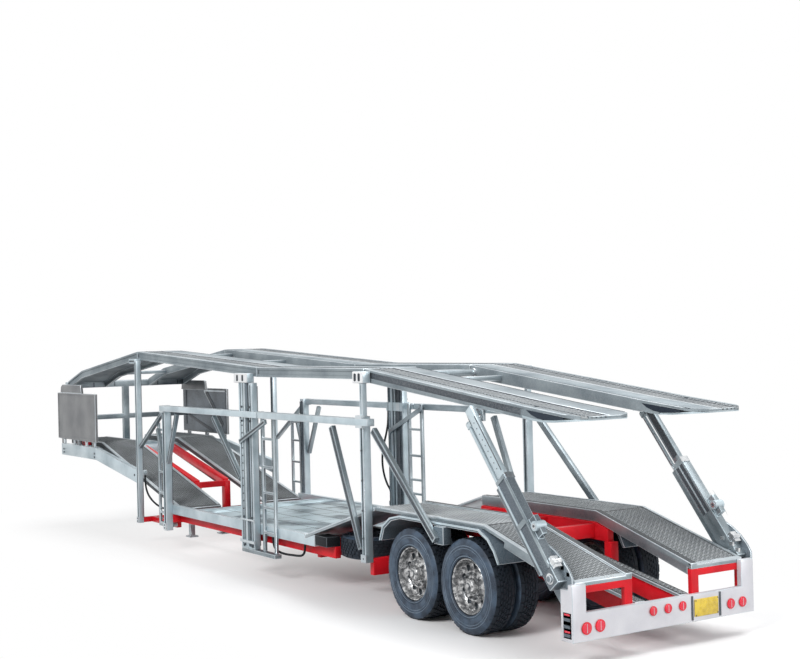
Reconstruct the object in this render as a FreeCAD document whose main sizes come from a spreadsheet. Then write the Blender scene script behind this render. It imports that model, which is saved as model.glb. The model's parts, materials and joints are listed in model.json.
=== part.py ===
# Scale-model car transporter semi-trailer.
# Frame: +X forward (towards the tractor), +Y left, +Z up, origin on the ground under the middle of the
# length. Stations are distances in mm ahead of the rear bumper's face, and "origin_x" turns them into X.
import FreeCAD, Part
import math
import os
import re
import Sketcher

doc = FreeCAD.newDocument("transporter_trailer")
Vec = FreeCAD.Vector

# ------------------------------------------------------------------ sizes
SIZES = [
    ("origin_x", 285.75, "station of the origin"),
    ("half_width", 48.75, "centre line to the bumper's end"),
    ("seat", 0.2, "clearance between pieces that only rest against each other"),
    ("run_gap", 0.05, "running clearance of pins and spindles"),
    # rear bumper
    ("bumper_thick", 2.6, "bumper plate thickness"),
    ("bumper_low", 9.2, "bumper lower edge"),
    ("bumper_top", 20.1, "top of the bumper bar"),
    ("horn_top", 31.0, "top of the bumper end uprights"),
    ("horn_width", 6.9, "width of the end uprights"),
    ("return_len", 7.0, "length of the bumper's side returns"),
    ("return_t", 1.6, "thickness of the side returns"),
    ("lamp_r", 1.9, "radius of the middle lamps"),
    ("lamp_left_r", 2.4, "radius of the lamps at the left end"),
    ("lamp_right_r", 2.1, "radius of the lamps at the right end"),
    ("lamp_proud", 0.7, "how far lamps stand proud"),
    ("plate_y", 14.5, "near edge of the number plate, to the right"),
    ("plate_w", 13.2, "number plate width"),
    ("plate_h", 7.0, "number plate height"),
    # wheel tracks of the tail, over the axles and down the rise
    ("track_in", 16.0, "inner edge of a wheel track"),
    ("track_out", 45.0, "outer edge of a wheel track"),
    ("tail_end_z", 31.2, "rear track height at its end"),
    ("tail_bend_x", 60.0, "station where the rear track starts to fall"),
    ("axle_deck_z", 47.4, "height of the track over the axles"),
    ("axle_deck_x", 144.0, "front end of the track over the axles"),
    ("sheet_t", 1.6, "tread plate thickness"),
    ("thin_t", 1.4, "thickness of lighter plates"),
    ("kerb_h", 0.8, "height of the smooth kerb along a tail track's inner edge"),
    ("kerb_w", 3.4, "width of that kerb"),
    ("flange_h", 4.0, "depth of a track's edge flange"),
    ("flange_t", 1.6, "thickness of a track's edge flange"),
    ("walk_y", 12.0, "centre of a narrow inner walkway"),
    ("walk_w", 5.0, "width of a narrow inner walkway"),
    ("walk_rear_z", 20.2, "walkway height at its rear end"),
    ("walk_front_z", 39.4, "walkway height at its front end"),
    ("walk_front_x", 104.0, "front end of the walkway"),
    ("web_t", 2.0, "thickness of the web under a walkway"),
    # wheels
    ("axle_rear_x", 71.8, "station of the rear axle"),
    ("axle_front_x", 114.2, "station of the front axle"),
    ("tyre_r", 20.4, "tyre radius"),
    ("tyre_w", 10.9, "tyre width"),
    ("tyre_face_y", 46.1, "outer face of the outer tyre"),
    ("dual_pitch", 12.7, "distance between the twin tyres"),
    ("rim_r", 12.0, "rim radius where the tyre sits"),
    ("dish", 4.4, "depth of the rim's dish"),
    ("hub_r", 4.6, "hub radius"),
    ("spindle_r", 1.6, "axle spindle radius"),
    ("axle_r", 2.6, "axle tube radius"),
    ("spring_y", 15.2, "inner face of a leaf spring"),
    ("spring_w", 4.2, "width of a leaf spring"),
    # running frame
    ("beam_y", 15.5, "inner face of a frame beam"),
    ("beam_w", 3.5, "frame beam width"),
    ("frame_low", 15.5, "underside of the frame"),
    ("frame_top", 23.4, "top of the frame"),
    ("over_axle_low", 35.5, "underside of the frame over the axles"),
    ("sill_y", 37.8, "inner face of the side sill"),
    ("sill_w", 3.2, "side sill width"),
    ("cross_w", 3.4, "length of a cross member along the trailer"),
    ("toe_low", 13.2, "underside of the low front part of the frame"),
    ("toe_top", 16.6, "top of the low front part of the frame"),
    # low deck
    ("deck_z", 27.4, "top of the low deck"),
    ("deck_rear_x", 212.0, "rear end of the flat low deck"),
    ("deck_front_x", 352.0, "front end of the flat low deck"),
    ("deck_edge_w", 3.0, "width of the low deck's edge beam"),
    # posts, rails, braces and ladders
    ("post_out", 50.3, "outer face of the posts"),
    ("post_deep", 4.2, "depth of the tall posts across the trailer"),
    ("slim_deep", 3.2, "depth of the forward posts across the trailer"),
    ("rail_t", 1.5, "thickness of rails and braces"),
    ("rail_top", 89.0, "top of the side rail"),
    ("rail_h", 3.4, "side rail height"),
    ("rail_split_x", 251.5, "station where the side rail's two lengths meet"),
    ("rail_split", 1.4, "gap between the two lengths of the side rail"),
    ("rail_tail", 6.2, "how far the side rail reaches behind the rear posts"),
    ("brace_in", 47.8, "inner face of the diagonal braces"),
    ("brace_w", 2.3, "width of a brace across the trailer"),
    ("post_a_x", 425.1, "front face of the forward posts"),
    ("post_b_x", 382.4, "front face of the second posts"),
    ("post_c_x", 275.6, "front face of the tall middle posts"),
    ("post_d_x", 149.0, "front face of the tall rear posts"),
    ("post_a_len", 3.2, "length of a forward post along the trailer"),
    ("post_b_len", 4.4, "length of a second post along the trailer"),
    ("post_c_len", 7.0, "length of a middle post along the trailer"),
    ("post_d_len", 3.2, "length of a rear post along the trailer"),
    ("post_a_top", 116.2, "top of the forward posts"),
    ("post_b_foot", 12.8, "foot of the second posts"),
    ("post_c_top", 104.2, "top of the middle posts, under their heads"),
    ("post_d_foot", 21.6, "foot of the rear posts"),
    ("post_d_top", 105.4, "top of the rear posts, under their heads"),
    ("head_h", 5.2, "height of a post head"),
    ("twin_gap", 4.5, "gap between the two columns of a middle post"),
    ("twin_len", 3.4, "length of the slimmer column of a middle post"),
    ("ladder_x", 240.3, "rear rail of the rear ladder"),
    ("ladder_w", 15.2, "width of the rear ladder"),
    ("ladder_t", 1.6, "thickness of a ladder rail"),
    ("step_low", 12.4, "underside of the step bar"),
    ("step_h", 2.2, "height of the step bar"),
    ("front_ladder_w", 13.0, "width of the front ladder"),
    # fenders
    ("fender_in", 21.5, "inner edge of a fender"),
    ("fender_out", 46.5, "outer edge of a fender"),
    ("fender_t", 1.6, "fender thickness"),
    # upper deck
    ("top_in", 16.0, "inner edge of an upper track"),
    ("swing_gap", 0.5, "side clearance of the rear upper deck to the posts"),
    ("nose_x", 563.0, "front tip of the upper deck"),
    ("nose_z", 101.6, "height of the front tip"),
    ("brow_x", 534.0, "station of the bend behind the front tip"),
    ("brow_z", 109.6, "height of that bend"),
    ("peak_x", 430.0, "station of the upper deck's peak"),
    ("peak_z", 122.3, "height of the peak"),
    ("knee_x", 262.0, "station where front and middle decks meet"),
    ("knee_z", 112.5, "height there"),
    ("mid_end_x", 151.4, "rear end of the middle deck"),
    ("mid_end_z", 112.2, "height of the middle deck's rear end"),
    ("hinge_z", 108.3, "height of the rear deck's hinge"),
    ("hinge_pin_r", 1.2, "hinge pin radius"),
    ("hinge_tube_r", 1.7, "hinge tube radius"),
    ("deck_split", 0.9, "gap between middle and rear decks"),
    ("tail_deck_x", 30.0, "rear end of the rear deck's beams"),
    ("tail_deck_z", 97.6, "height there"),
    ("tip_x", -2.0, "station of the flip tips"),
    ("tip_z", 94.2, "height of the flip tips"),
    ("beam_h", 5.2, "upper deck beam depth"),
    ("beam_t", 2.0, "upper deck beam thickness"),
    ("skin_t", 1.3, "upper deck plate thickness"),
    # lift arms
    ("arm_gap", 0.7, "side clearance of the arms to the rear deck"),
    ("arm_w", 4.4, "width of the arm sleeve across the trailer"),
    ("arm_deep", 6.6, "depth of the arm sleeve"),
    ("arm_wall", 0.9, "wall of the arm sleeve"),
    ("arm_slide", 0.15, "clearance of the inner tube in the sleeve"),
    ("arm_top_x", 61.7, "station of the arm's upper pin"),
    ("arm_top_z", 94.0, "height of the upper pin"),
    ("arm_foot_x", 10.4, "station of the arm's foot pin"),
    ("arm_foot_z", 32.4, "height of the foot pin"),
    ("foot_pin_r", 1.4, "foot pin radius"),
    ("arm_pin_r", 1.1, "upper pin radius"),
    ("eye_play", 0.75, "play of the upper pin in the deck's eye"),
    ("ram_off", 4.7, "distance of the ram beside the arm, centre to centre"),
    ("ram_w", 2.8, "width of the ram's barrel"),
    # gooseneck
    ("neck_in", 46.6, "inner face of a gooseneck beam"),
    ("neck_w", 3.5, "gooseneck beam width"),
    ("neck_front_x", 567.5, "front end of the gooseneck"),
    ("neck_bend_x", 498.5, "station of the gooseneck's bend"),
    ("neck_z", 57.0, "top of the gooseneck's level beam"),
    ("neck_h", 8.2, "gooseneck beam depth"),
    ("neck_foot_z", 46.6, "top of the sloping beam at the forward posts"),
    ("ramp_in", 14.6, "inner edge of a front ramp"),
    ("ramp_out", 42.0, "outer edge of a front ramp"),
    ("ramp_end_x", 376.0, "station of the front ramps' lower end"),
    ("ramp_end_z", 25.6, "height of the front ramps' lower end"),
    ("ramp_bend_x", 508.0, "station where the front ramp becomes level"),
    ("ramp_z", 59.6, "height of the level part of the front ramp"),
    ("ramp_front_x", 569.0, "front end of the front ramps"),
    ("king_r", 2.0, "coupling pin radius"),
    ("king_len", 7.0, "coupling pin length"),
    ("king_x", 540.0, "station of the coupling pin"),
    ("king_plate_t", 1.4, "coupling plate thickness"),
    ("panel_len", 76.5, "length of the front side panel"),
    ("panel_front_x", 573.5, "front edge of the front side panel"),
    ("panel_t", 1.8, "front side panel thickness"),
    ("panel_low", 60.6, "lower edge of the front side panel"),
    ("panel_top", 93.6, "upper edge of the front side panel"),
    ("rack_w", 3.4, "size of the front rack's beams"),
    # spare wheel
    ("spare_ahead", 31.0, "distance of the spare tyre's centre ahead of the rear posts"),
    ("spare_y", 20.0, "side position of the spare tyre's centre"),
    ("spare_z", 18.4, "underside of the spare tyre"),
    ("leg_x", 427.0, "rear face of the landing legs"),
    ("leg_y", 11.2, "side position of the landing legs"),
    ("hose_r", 0.6, "air hose radius"),
    ("clip_w", 2.4, "width of a hose's end fitting"),
]
sheet = doc.addObject("Spreadsheet::Sheet", "Sizes")
for row, (alias, value, note) in enumerate(SIZES, 1):
    sheet.set(f"A{row}", alias)
    sheet.set(f"B{row}", str(value))
    sheet.set(f"C{row}", note)
    sheet.setAlias(f"B{row}", alias)
doc.recompute()
VALUES = {alias: value for alias, value, _ in SIZES}


def ex(text):
    """Write a size formula for FreeCAD: each alias is looked up in the sheet."""
    return re.sub(r"[A-Za-z_]\w*", lambda m: "Sizes." + m[0] if m[0] in VALUES else m[0], str(text))


def bind(obj, prop, text):
    obj.setExpression(prop, ex(text))


# ------------------------------------------------------------------ building blocks
def block(name, x0, x1, y0, y1, z0, z1):
    """A box between two stations, two sides and two heights."""
    obj = doc.addObject("Part::Box", name)
    bind(obj, "Length", f"({x1}) - ({x0})")
    bind(obj, "Width", f"({y1}) - ({y0})")
    bind(obj, "Height", f"({z1}) - ({z0})")
    bind(obj, "Placement.Base.x", f"({x0}) - origin_x")
    bind(obj, "Placement.Base.y", y0)
    bind(obj, "Placement.Base.z", z0)
    return obj


def rod(name, axis, r, length, x, y, z):
    """A round bar that starts at a station, side and height and runs along +X, +Y or +Z."""
    obj = doc.addObject("Part::Cylinder", name)
    bind(obj, "Radius", r)
    bind(obj, "Height", length)
    turn = {"x": (0, 1, 0, 90), "y": (1, 0, 0, -90), "z": (0, 0, 1, 0)}[axis]
    obj.Placement.Rotation = FreeCAD.Rotation(Vec(*turn[:3]), turn[3])
    bind(obj, "Placement.Base.x", f"({x}) - origin_x")
    bind(obj, "Placement.Base.y", y)
    bind(obj, "Placement.Base.z", z)
    return obj


def strut(name, a, b, deep, y0, y1, ahead=0, beyond=0):
    """A straight bar in a side view, centred on the line between two (station, height) points."""
    (x0, z0), (x1, z1) = a, b
    run, rise = f"(({x1}) - ({x0}))", f"(({z1}) - ({z0}))"
    tilt = f"atan2({rise}; {run})"
    obj = doc.addObject("Part::Box", name)
    bind(obj, "Length", f"hypot({run}; {rise}) + ({ahead}) + ({beyond})")
    bind(obj, "Width", f"({y1}) - ({y0})")
    bind(obj, "Height", deep)
    sx = f"({x0}) - origin_x + sin({tilt}) * ({deep}) / 2 - cos({tilt}) * ({ahead})"
    sz = f"({z0}) - cos({tilt}) * ({deep}) / 2 - sin({tilt}) * ({ahead})"
    turn = f"create(<<rotation>>; create(<<vector>>; 0; 1; 0); -{tilt})"
    bind(obj, "Placement", f"create(<<placement>>; create(<<vector>>; {sx}; {y0}; {sz}); {turn})")
    return obj


def first_value(text):
    """Starting value of a size formula made of sums, products and quotients without brackets."""
    plain = re.sub(r"[A-Za-z_]\w*", lambda m: repr(VALUES[m[0]]), str(text))
    plain = re.sub(r"([+-])\s*-", lambda m: "+" if m[1] == "-" else "-", plain)
    total = 0.0
    for sign, term in re.findall(r"([+-]?)\s*([^+-]+)", plain):
        value = 1.0
        for op, num in re.findall(r"([*/]?)\s*([\d.]+)", term):
            value = value / float(num) if op == "/" else value * float(num)
        total += -value if sign == "-" else value
    return total


def outline(name, points):
    """A closed sketch whose corners are held by size formulas (first, second coordinate)."""
    sk = doc.addObject("Sketcher::SketchObject", name)
    vals = [[first_value(c) for c in p] for p in points]
    n = len(points)
    for i in range(n):
        a, b = vals[i], vals[(i + 1) % n]
        sk.addGeometry(Part.LineSegment(Vec(a[0], a[1], 0), Vec(b[0], b[1], 0)), False)
    for i in range(n):
        sk.addConstraint(Sketcher.Constraint("Coincident", i, 2, (i + 1) % n, 1))
    for i, p in enumerate(points):
        for kind, c, v in (("DistanceX", p[0], vals[i][0]), ("DistanceY", p[1], vals[i][1])):
            k = sk.addConstraint(Sketcher.Constraint(kind, -1, 1, i, 1, v))
            sk.setExpression(f"Constraints[{k}]", ex(c))
    return sk


SHIFT = 20  # sketches are drawn this far ahead, so that every corner has a positive coordinate


def slab(name, points, y0, y1):
    """A side-view outline, given as (station, height) corners, run across from y0 to y1."""
    sk = outline(name + "_outline", [(f"{x} + {SHIFT}", z) for x, z in points])
    sk.Placement.Rotation = FreeCAD.Rotation(Vec(1, 0, 0), 90)
    bind(sk, "Placement.Base.x", f"-origin_x - {SHIFT}")
    bind(sk, "Placement.Base.y", y0)
    obj = doc.addObject("Part::Extrusion", name)
    obj.Base = sk
    obj.DirMode = "Custom"
    obj.Dir = Vec(0, 1, 0)
    obj.Solid = True
    bind(obj, "LengthFwd", f"({y1}) - ({y0})")
    return obj


def band(name, path, drop, y0, y1):
    """A plate of even depth under a path of (station, height) points."""
    return slab(name, path + [(x, f"{z} - {drop}") for x, z in reversed(path)], y0, y1)


def lathe(name, points, x, y, z):
    """A turned piece about a crosswise axis, from (distance along it, radius) corners."""
    sk = outline(name + "_section", points)
    obj = doc.addObject("Part::Revolution", name)
    obj.Source = sk
    obj.Axis = Vec(1, 0, 0)
    obj.Angle = 360
    obj.Solid = True
    obj.Placement.Rotation = FreeCAD.Rotation(Vec(0, 0, 1), 90)
    bind(obj, "Placement.Base.x", f"({x}) - origin_x")
    bind(obj, "Placement.Base.y", y)
    bind(obj, "Placement.Base.z", z)
    return obj


NODES = []
GROUPS = {}
SIDES = [("left", 1), ("right", -1)]


def node(name, *pieces, minus=()):
    """Name a sub-part made of one or more pieces, less the pieces in minus."""
    obj = pieces[0]
    if len(pieces) > 1:
        obj = doc.addObject("Part::MultiFuse", name + "_sum")
        obj.Shapes = list(pieces)
    for k, tool in enumerate(minus):
        cut = doc.addObject("Part::Cut", f"{name}_cut{k}")
        cut.Base, cut.Tool = obj, tool
        obj = cut
    obj.Label = name
    NODES.append((name, obj))
    return obj


def add(name, *pieces):
    """Collect the pieces of a sub-part that has a left and a right half."""
    GROUPS.setdefault(name, []).extend(pieces)


def span(side, a, b):
    """Low and high Y of a piece that lies between distances a and b from the centre line."""
    return (a, b) if side > 0 else (f"-({b})", f"-({a})")


def on_line(x, a, b):
    """Height at a station on the straight line through two (station, height) points."""
    return f"({a[1]}) + (({x}) - ({a[0]})) * (({b[1]}) - ({a[1]})) / (({b[0]}) - ({a[0]}))"


POST_IN = "post_out - post_deep"
DECK_OUT = "post_out - post_deep - seat"
SWING_OUT = "post_out - post_deep - swing_gap"
ARM_IN = "post_out - post_deep - swing_gap + arm_gap"
RAIL_OUT = "post_out + rail_t"
ARM_OUT = f"{ARM_IN} + arm_w"
POST_D_MID = "post_d_x - post_d_len / 2"

# ------------------------------------------------------------------ rear bumper and lamps
bits = [block("bumper_bar", 0, "bumper_thick", "-half_width", "half_width", "bumper_low", "bumper_top")]
for word, s in SIDES:
    bits.append(block(f"horn_{word}", 0, "bumper_thick", *span(s, "half_width - horn_width", "half_width"),
                      "bumper_low", "horn_top"))
    bits.append(block(f"return_{word}", 0, "return_len", *span(s, "half_width - return_t", "half_width"),
                      "bumper_low", "horn_top - 2"))
node("bumper", *bits)

LAMPS = [  # radius, side position, height
    ("lamp_left_r", 42.2, 14.2), ("lamp_left_r", 35.4, 14.4), ("lamp_r", 7.9, 16.4), ("lamp_r", 0.0, 16.4),
    ("lamp_r", -7.9, 16.4), ("lamp_right_r", -35.0, 14.0), ("lamp_right_r", -41.8, 14.0)]
node("tail_lamps", *[rod(f"lamp_{i}", "x", r, "lamp_proud", "-lamp_proud", y, z)
                     for i, (r, y, z) in enumerate(LAMPS)])
node("number_plate", block("plate_blank", -0.5, 0, "-plate_y - plate_w", "-plate_y", "bumper_low + 1.9",
                           "bumper_low + 1.9 + plate_h"))

# ------------------------------------------------------------------ tail tracks, walkways and tail frame
for word, s in SIDES:
    y0, y1 = span(s, "track_in", "track_out")
    tail = [("bumper_thick", "tail_end_z"), ("tail_bend_x", "axle_deck_z")]
    level = [("tail_bend_x", "axle_deck_z"), ("axle_deck_x", "axle_deck_z")]
    add("tail_tracks", band(f"tail_plate_{word}", tail + level[1:], "sheet_t", y0, y1))
    kerb = [("bumper_thick", "tail_end_z + kerb_h"), ("tail_bend_x", "axle_deck_z + kerb_h"),
            ("axle_deck_x", "axle_deck_z + kerb_h")]
    add("tail_tracks", band(f"tail_kerb_{word}", kerb, "kerb_h", *span(s, "track_in", "track_in + kerb_w")))
    flange = [("bumper_thick + 2.4", "tail_end_z"), ("tail_bend_x", "axle_deck_z"), ("axle_deck_x", "axle_deck_z")]
    add("tail_tracks", band(f"tail_flange_in_{word}", flange, "flange_h",
                            *span(s, "track_in", "track_in + flange_t")))
    # the outer flange stops where the fender comes up under the plate
    stop = "axle_rear_x - tyre_r - 5"
    stop_z = on_line(stop, *tail)
    add("tail_tracks", strut(f"tail_flange_out_{word}", ("bumper_thick + 3.2", f"{on_line('bumper_thick + 3.2', *tail)} - 2.2"),
                             (stop, f"{stop_z} - 2.2"), "flange_h - 0.4",
                             *span(s, "track_out - flange_t", "track_out")))

    e0, e1 = "bumper_thick", "bumper_thick + 2.2"
    add("tail_frame",
        block(f"end_top_{word}", e0, e1, y0, y1, "tail_end_z - sheet_t - 2.8", "tail_end_z - sheet_t"),
        block(f"end_in_{word}", e0, e1, *span(s, "track_in", "track_in + 4"), "bumper_low + 2", "tail_end_z - 4"),
        block(f"end_out_{word}", e0, e1, *span(s, "track_out - 2.5", "track_out"), "bumper_low + 2",
              "tail_end_z - 4"))

    walk = [("bumper_thick", "walk_rear_z"), ("walk_front_x", "walk_front_z")]
    half = "walk_w / 2"
    add("inner_rails", band(f"walkway_{word}", walk, "thin_t", *span(s, f"walk_y - {half}", f"walk_y + {half}")))
    under = [(x, f"{z} - thin_t") for x, z in walk]
    add("tail_frame", slab(f"walk_web_{word}", under + [
        ("walk_front_x", "walk_front_z - 8"), ("tail_bend_x", "walk_rear_z + 2.6"), ("bumper_thick", "bumper_low + 1.8")],
        *span(s, "walk_y - web_t / 2", "walk_y + web_t / 2")))

    add("tail_sides", slab(f"tail_cheek_{word}", [
        ("3", "horn_top - 10"), ("3", "horn_top + 2"), ("5", "horn_top + 5"), ("8.5", "horn_top + 8.5"),
        ("13", "horn_top + 11.5"), ("18", "horn_top + 13.8"), ("24", "horn_top + 15.2"), ("30", "horn_top + 15.6"),
        ("30", "horn_top + 13.5"), ("9", "horn_top - 10")],
        *(("track_out + 0.1", POST_IN) if s > 0 else ("-post_out - rail_t", f"-({ARM_OUT}) - arm_slide"))))
    if s < 0:
        add("tail_sides", block("cheek_spacer", 3, 8, f"-({ARM_OUT}) - arm_slide", "-half_width",
                                "horn_top - 9.8", "horn_top - 6"))

# ------------------------------------------------------------------ wheels
TYRE = [  # side position across the tread (share of the width), radius
    (0.10, "rim_r"), (0.0, "rim_r + 3.2"), (0.0, "tyre_r - 4.2"), (0.10, "tyre_r - 1.3"),
    (0.24, "tyre_r"), (0.76, "tyre_r"), (0.90, "tyre_r - 1.3"), (1.0, "tyre_r - 4.2"),
    (1.0, "rim_r + 3.2"), (0.90, "rim_r")]
AXLES = [("front", "axle_front_x"), ("rear", "axle_rear_x")]
RIM = [  # distance from the outer tyre's outer face inwards, radius
    ("1.2", "rim_r - run_gap"), ("1.2", "rim_r - 1.6"), ("dish", "rim_r - 2.4"), ("dish", "hub_r"),
    ("1.6", "hub_r - 0.5"), ("0.6", "hub_r - 2"), ("0.6", "spindle_r + run_gap"),
    ("dual_pitch + tyre_w - 7", "spindle_r + run_gap"), ("dual_pitch + tyre_w - 7", "hub_r + 1.4"),
    ("dish + 3", "hub_r + 1.4"), ("dish + 3", "rim_r - 1.8"), ("dual_pitch + tyre_w - 1", "rim_r - 1.8"),
    ("dual_pitch + tyre_w - 1", "rim_r - run_gap")]


def tyre(name, x, y, z):
    return lathe(name, [(f"{share} * tyre_w", r) for share, r in TYRE], x, y, z)


for axle, ax in AXLES:
    for word, s in SIDES:
        outer = "tyre_face_y - tyre_w" if s > 0 else "-tyre_face_y"
        inner = "tyre_face_y - tyre_w - dual_pitch" if s > 0 else "dual_pitch - tyre_face_y"
        node(f"tyres_{axle}_{word}", tyre(f"t_{axle}_{word}_o", ax, outer, "tyre_r"),
             tyre(f"t_{axle}_{word}_i", ax, inner, "tyre_r"))
        # two rims in one, with a dished face and a hub on the spindle; the right one is turned about
        rim = lathe(f"r_{axle}_{word}", RIM, ax, "-tyre_face_y", "tyre_r")
        if s > 0:
            rim.Placement.Rotation = FreeCAD.Rotation(Vec(0, 0, 1), -90)
            bind(rim, "Placement.Base.y", "tyre_face_y")
        node(f"rim_{axle}_{word}", rim)
    add("axles",
        rod(f"tube_{axle}", "y", "axle_r", "2 * beam_y + 2 * beam_w + 3", ax, "-beam_y - beam_w - 1.5", "tyre_r"),
        rod(f"spindle_{axle}", "y", "spindle_r", "tyre_face_y * 2 - 3", ax, "1.5 - tyre_face_y", "tyre_r"))

# ------------------------------------------------------------------ running frame and suspension
frame = []
rise_rear = "post_d_x + 3"
for word, s in SIDES:
    y0, y1 = span(s, "beam_y", "beam_y + beam_w")
    frame.append(slab(f"chassis_rear_{word}", [
        ("tail_bend_x - 8", "over_axle_low"), ("tail_bend_x - 8", "over_axle_low + 5"),
        ("tail_bend_x", "axle_deck_z - flange_h - seat"),
        ("axle_deck_x", "axle_deck_z - flange_h - seat"), ("post_d_x + 3", "frame_top"), ("post_d_x + 3", "frame_low"),
        ("post_d_x - 1", "frame_low"), ("axle_deck_x - 4", "over_axle_low")], y0, y1))
    frame.append(slab(f"chassis_fore_{word}", [
        ("deck_rear_x - 2", "frame_low"), ("deck_rear_x - 2", "frame_top"), ("post_b_x + 3", "frame_top"),
        ("post_a_x + 5", "toe_top + 1"), ("post_a_x + 5", "toe_low + 0.3"), ("post_b_x + 3", "frame_low")], y0, y1))
    y0, y1 = span(s, "sill_y", "sill_y + sill_w")
    frame.append(block(f"sill_{word}", "deck_rear_x - 22", "post_b_x + 5", y0, y1, "frame_low + 2", "frame_top"))
    frame.append(block(f"toe_{word}", "post_b_x + 5", "post_a_x - 1", y0, y1, "toe_low", "toe_top"))
    frame.append(block(f"toe_riser_{word}", "post_b_x + 2", "post_b_x + 6", y0, y1, "toe_low", "frame_top"))
c_cross = "post_c_x - post_c_len / 2 - cross_w / 2"
CROSS = [  # station, underside, top, half length
    ("tail_bend_x", "over_axle_low + 1", "over_axle_low + 7", "beam_y"),
    ("axle_rear_x + 21", "walk_front_z - 0.9", "over_axle_low + 7", "beam_y"),
    ("axle_deck_x - 10", "over_axle_low + 1", "over_axle_low + 7", "beam_y"),
    ("post_d_x - post_d_len / 2 - cross_w / 2", "frame_low", "frame_top", POST_IN),
    ("deck_rear_x - 3", "frame_low", "frame_top", "sill_y + 1"),
    ("ladder_x", "frame_low + 2", "frame_top", "sill_y + 1"),
    (c_cross, "frame_low + 2", "frame_top - 1", POST_IN),
    ("deck_front_x - 24", "frame_low + 2", "frame_top", "sill_y + 1"),
    ("post_b_x - post_b_len", "frame_low + 2", "frame_top - 1", POST_IN),
    ("post_a_x - 21", "toe_low + 0.3", "toe_top - 0.2", "sill_y + 1"),
    ("post_a_x - post_a_len", "toe_low + 0.3", "toe_top", "post_out - slim_deep")]
cross = []
for k, (x, z0, z1, half) in enumerate(CROSS):
    cross.append(block(f"cross_{k}", x, f"{x} + cross_w", f"-({half})", half, z0, z1))
frame.append(block("spine", "post_d_x - 1", "deck_rear_x - 2", -12, -6, "frame_low", "frame_top"))
frame.append(block("leg_bar", "leg_x - 1", "leg_x + 4", -20, 20, "toe_low + 0.2", "toe_top + 0.8"))
node("main_frame", *frame)
node("frame_cross", *cross, minus=frame)

for word, s in SIDES:
    y0, y1 = span(s, "spring_y", "spring_y + spring_w")
    for k, x in enumerate(("axle_rear_x + 18.9", "axle_rear_x - 22.3", "axle_front_x + 20.3")):
        add("suspension", block(f"hanger_{word}_{k}", x, f"{x} + 4.5", y0, y1, "tyre_r + 2.1", "over_axle_low"))
    for axle, ax in AXLES:
        add("suspension", block(f"spring_{axle}_{word}", f"{ax} - 19.5", f"{ax} + 19.5", y0, y1,
                                "tyre_r + axle_r", "tyre_r + axle_r + 2.6"))

# ------------------------------------------------------------------ low deck and the rise to the axles
DECK_EDGE_IN = "post_out - post_deep - deck_edge_w"
joists = ("deck_rear_x + 3", "ladder_x + 0.2", c_cross, "deck_front_x - 24", "deck_front_x - 5")
node("low_deck",
     block("deck_sheet", "deck_rear_x", "deck_front_x", f"-({DECK_EDGE_IN})", DECK_EDGE_IN, "deck_z - 1.8", "deck_z"),
     *[block(f"deck_joist_{k}", x, f"{x} + 3", -37, 37, "frame_top", "deck_z - 1.7") for k, x in enumerate(joists)])
for word, s in SIDES:
    rise = [("axle_deck_x", "axle_deck_z"), ("deck_rear_x", "deck_z")]
    add("rise_tracks", band(f"rise_{word}", rise, "thin_t", *span(s, "track_in", f"{POST_IN} - 0.1")))
    add("deck_beams", slab(f"deck_edge_{word}", [
        ("deck_rear_x - 10", "frame_top - 0.8"), ("deck_rear_x - 10", "deck_z + 1.2"), ("deck_rear_x", "deck_z - 1.6"),
        ("deck_rear_x + 0.2", "deck_z + 0.8"), ("post_b_x", "deck_z + 0.8"), ("post_b_x", "frame_top - 0.8")],
        *span(s, DECK_EDGE_IN, POST_IN)))

# ------------------------------------------------------------------ posts
for word, s in SIDES:
    y0, y1 = span(s, POST_IN, "post_out")
    t0, t1 = span(s, "post_out - slim_deep", "post_out")
    add("posts_a", block(f"post_a_{word}", "post_a_x - post_a_len", "post_a_x", t0, t1, "toe_low", "post_a_top"),
        block(f"post_a_arm_{word}", "post_a_x - 1", "post_a_x + 9", *span(s, DECK_OUT, "post_out"),
              "post_a_top - 1.6", "post_a_top + 1.4"))
    add("posts_b", block(f"post_b_{word}", "post_b_x - post_b_len", "post_b_x", y0, y1, "post_b_foot", "rail_top"))
    twin = "post_c_x - post_c_len - twin_gap"
    c_foot = "step_low + step_h"
    q0, q1 = span(s, f"{POST_IN} + 0.3", "post_out - 0.3")
    add("posts_c", block(f"post_c_{word}", "post_c_x - post_c_len", "post_c_x", y0, y1, c_foot, "post_c_top"),
        block(f"post_c_twin_{word}", f"{twin} - twin_len", twin, q0, q1, c_foot, "post_c_top"),
        block(f"post_c_shoe_{word}", f"{twin} - twin_len", "post_c_x", q0, q1, c_foot, f"{c_foot} + 4"),
        block(f"post_c_head_{word}", "post_c_x - 10.8", "post_c_x + 4.6", y0, y1, "post_c_top",
              "post_c_top + head_h"))
    # a rear post is a stout sleeve up to the rail and a slimmer post above it
    u0, u1 = span(s, f"{POST_IN} + 1.4", "post_out - 0.1")
    add("posts_d", block(f"post_d_{word}", "post_d_x - post_d_len", "post_d_x", y0, y1, "post_d_foot", "rail_top + 1"),
        block(f"post_d_upper_{word}", "post_d_x - post_d_len + 0.3", "post_d_x - 0.5", u0, u1, "rail_top + 1",
              "post_d_top"),
        block(f"post_d_head_{word}", "post_d_x - post_d_len - 0.8", "post_d_x + 4.7", y0, y1, "post_d_top",
              "post_d_top + head_h + 0.3"))

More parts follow.
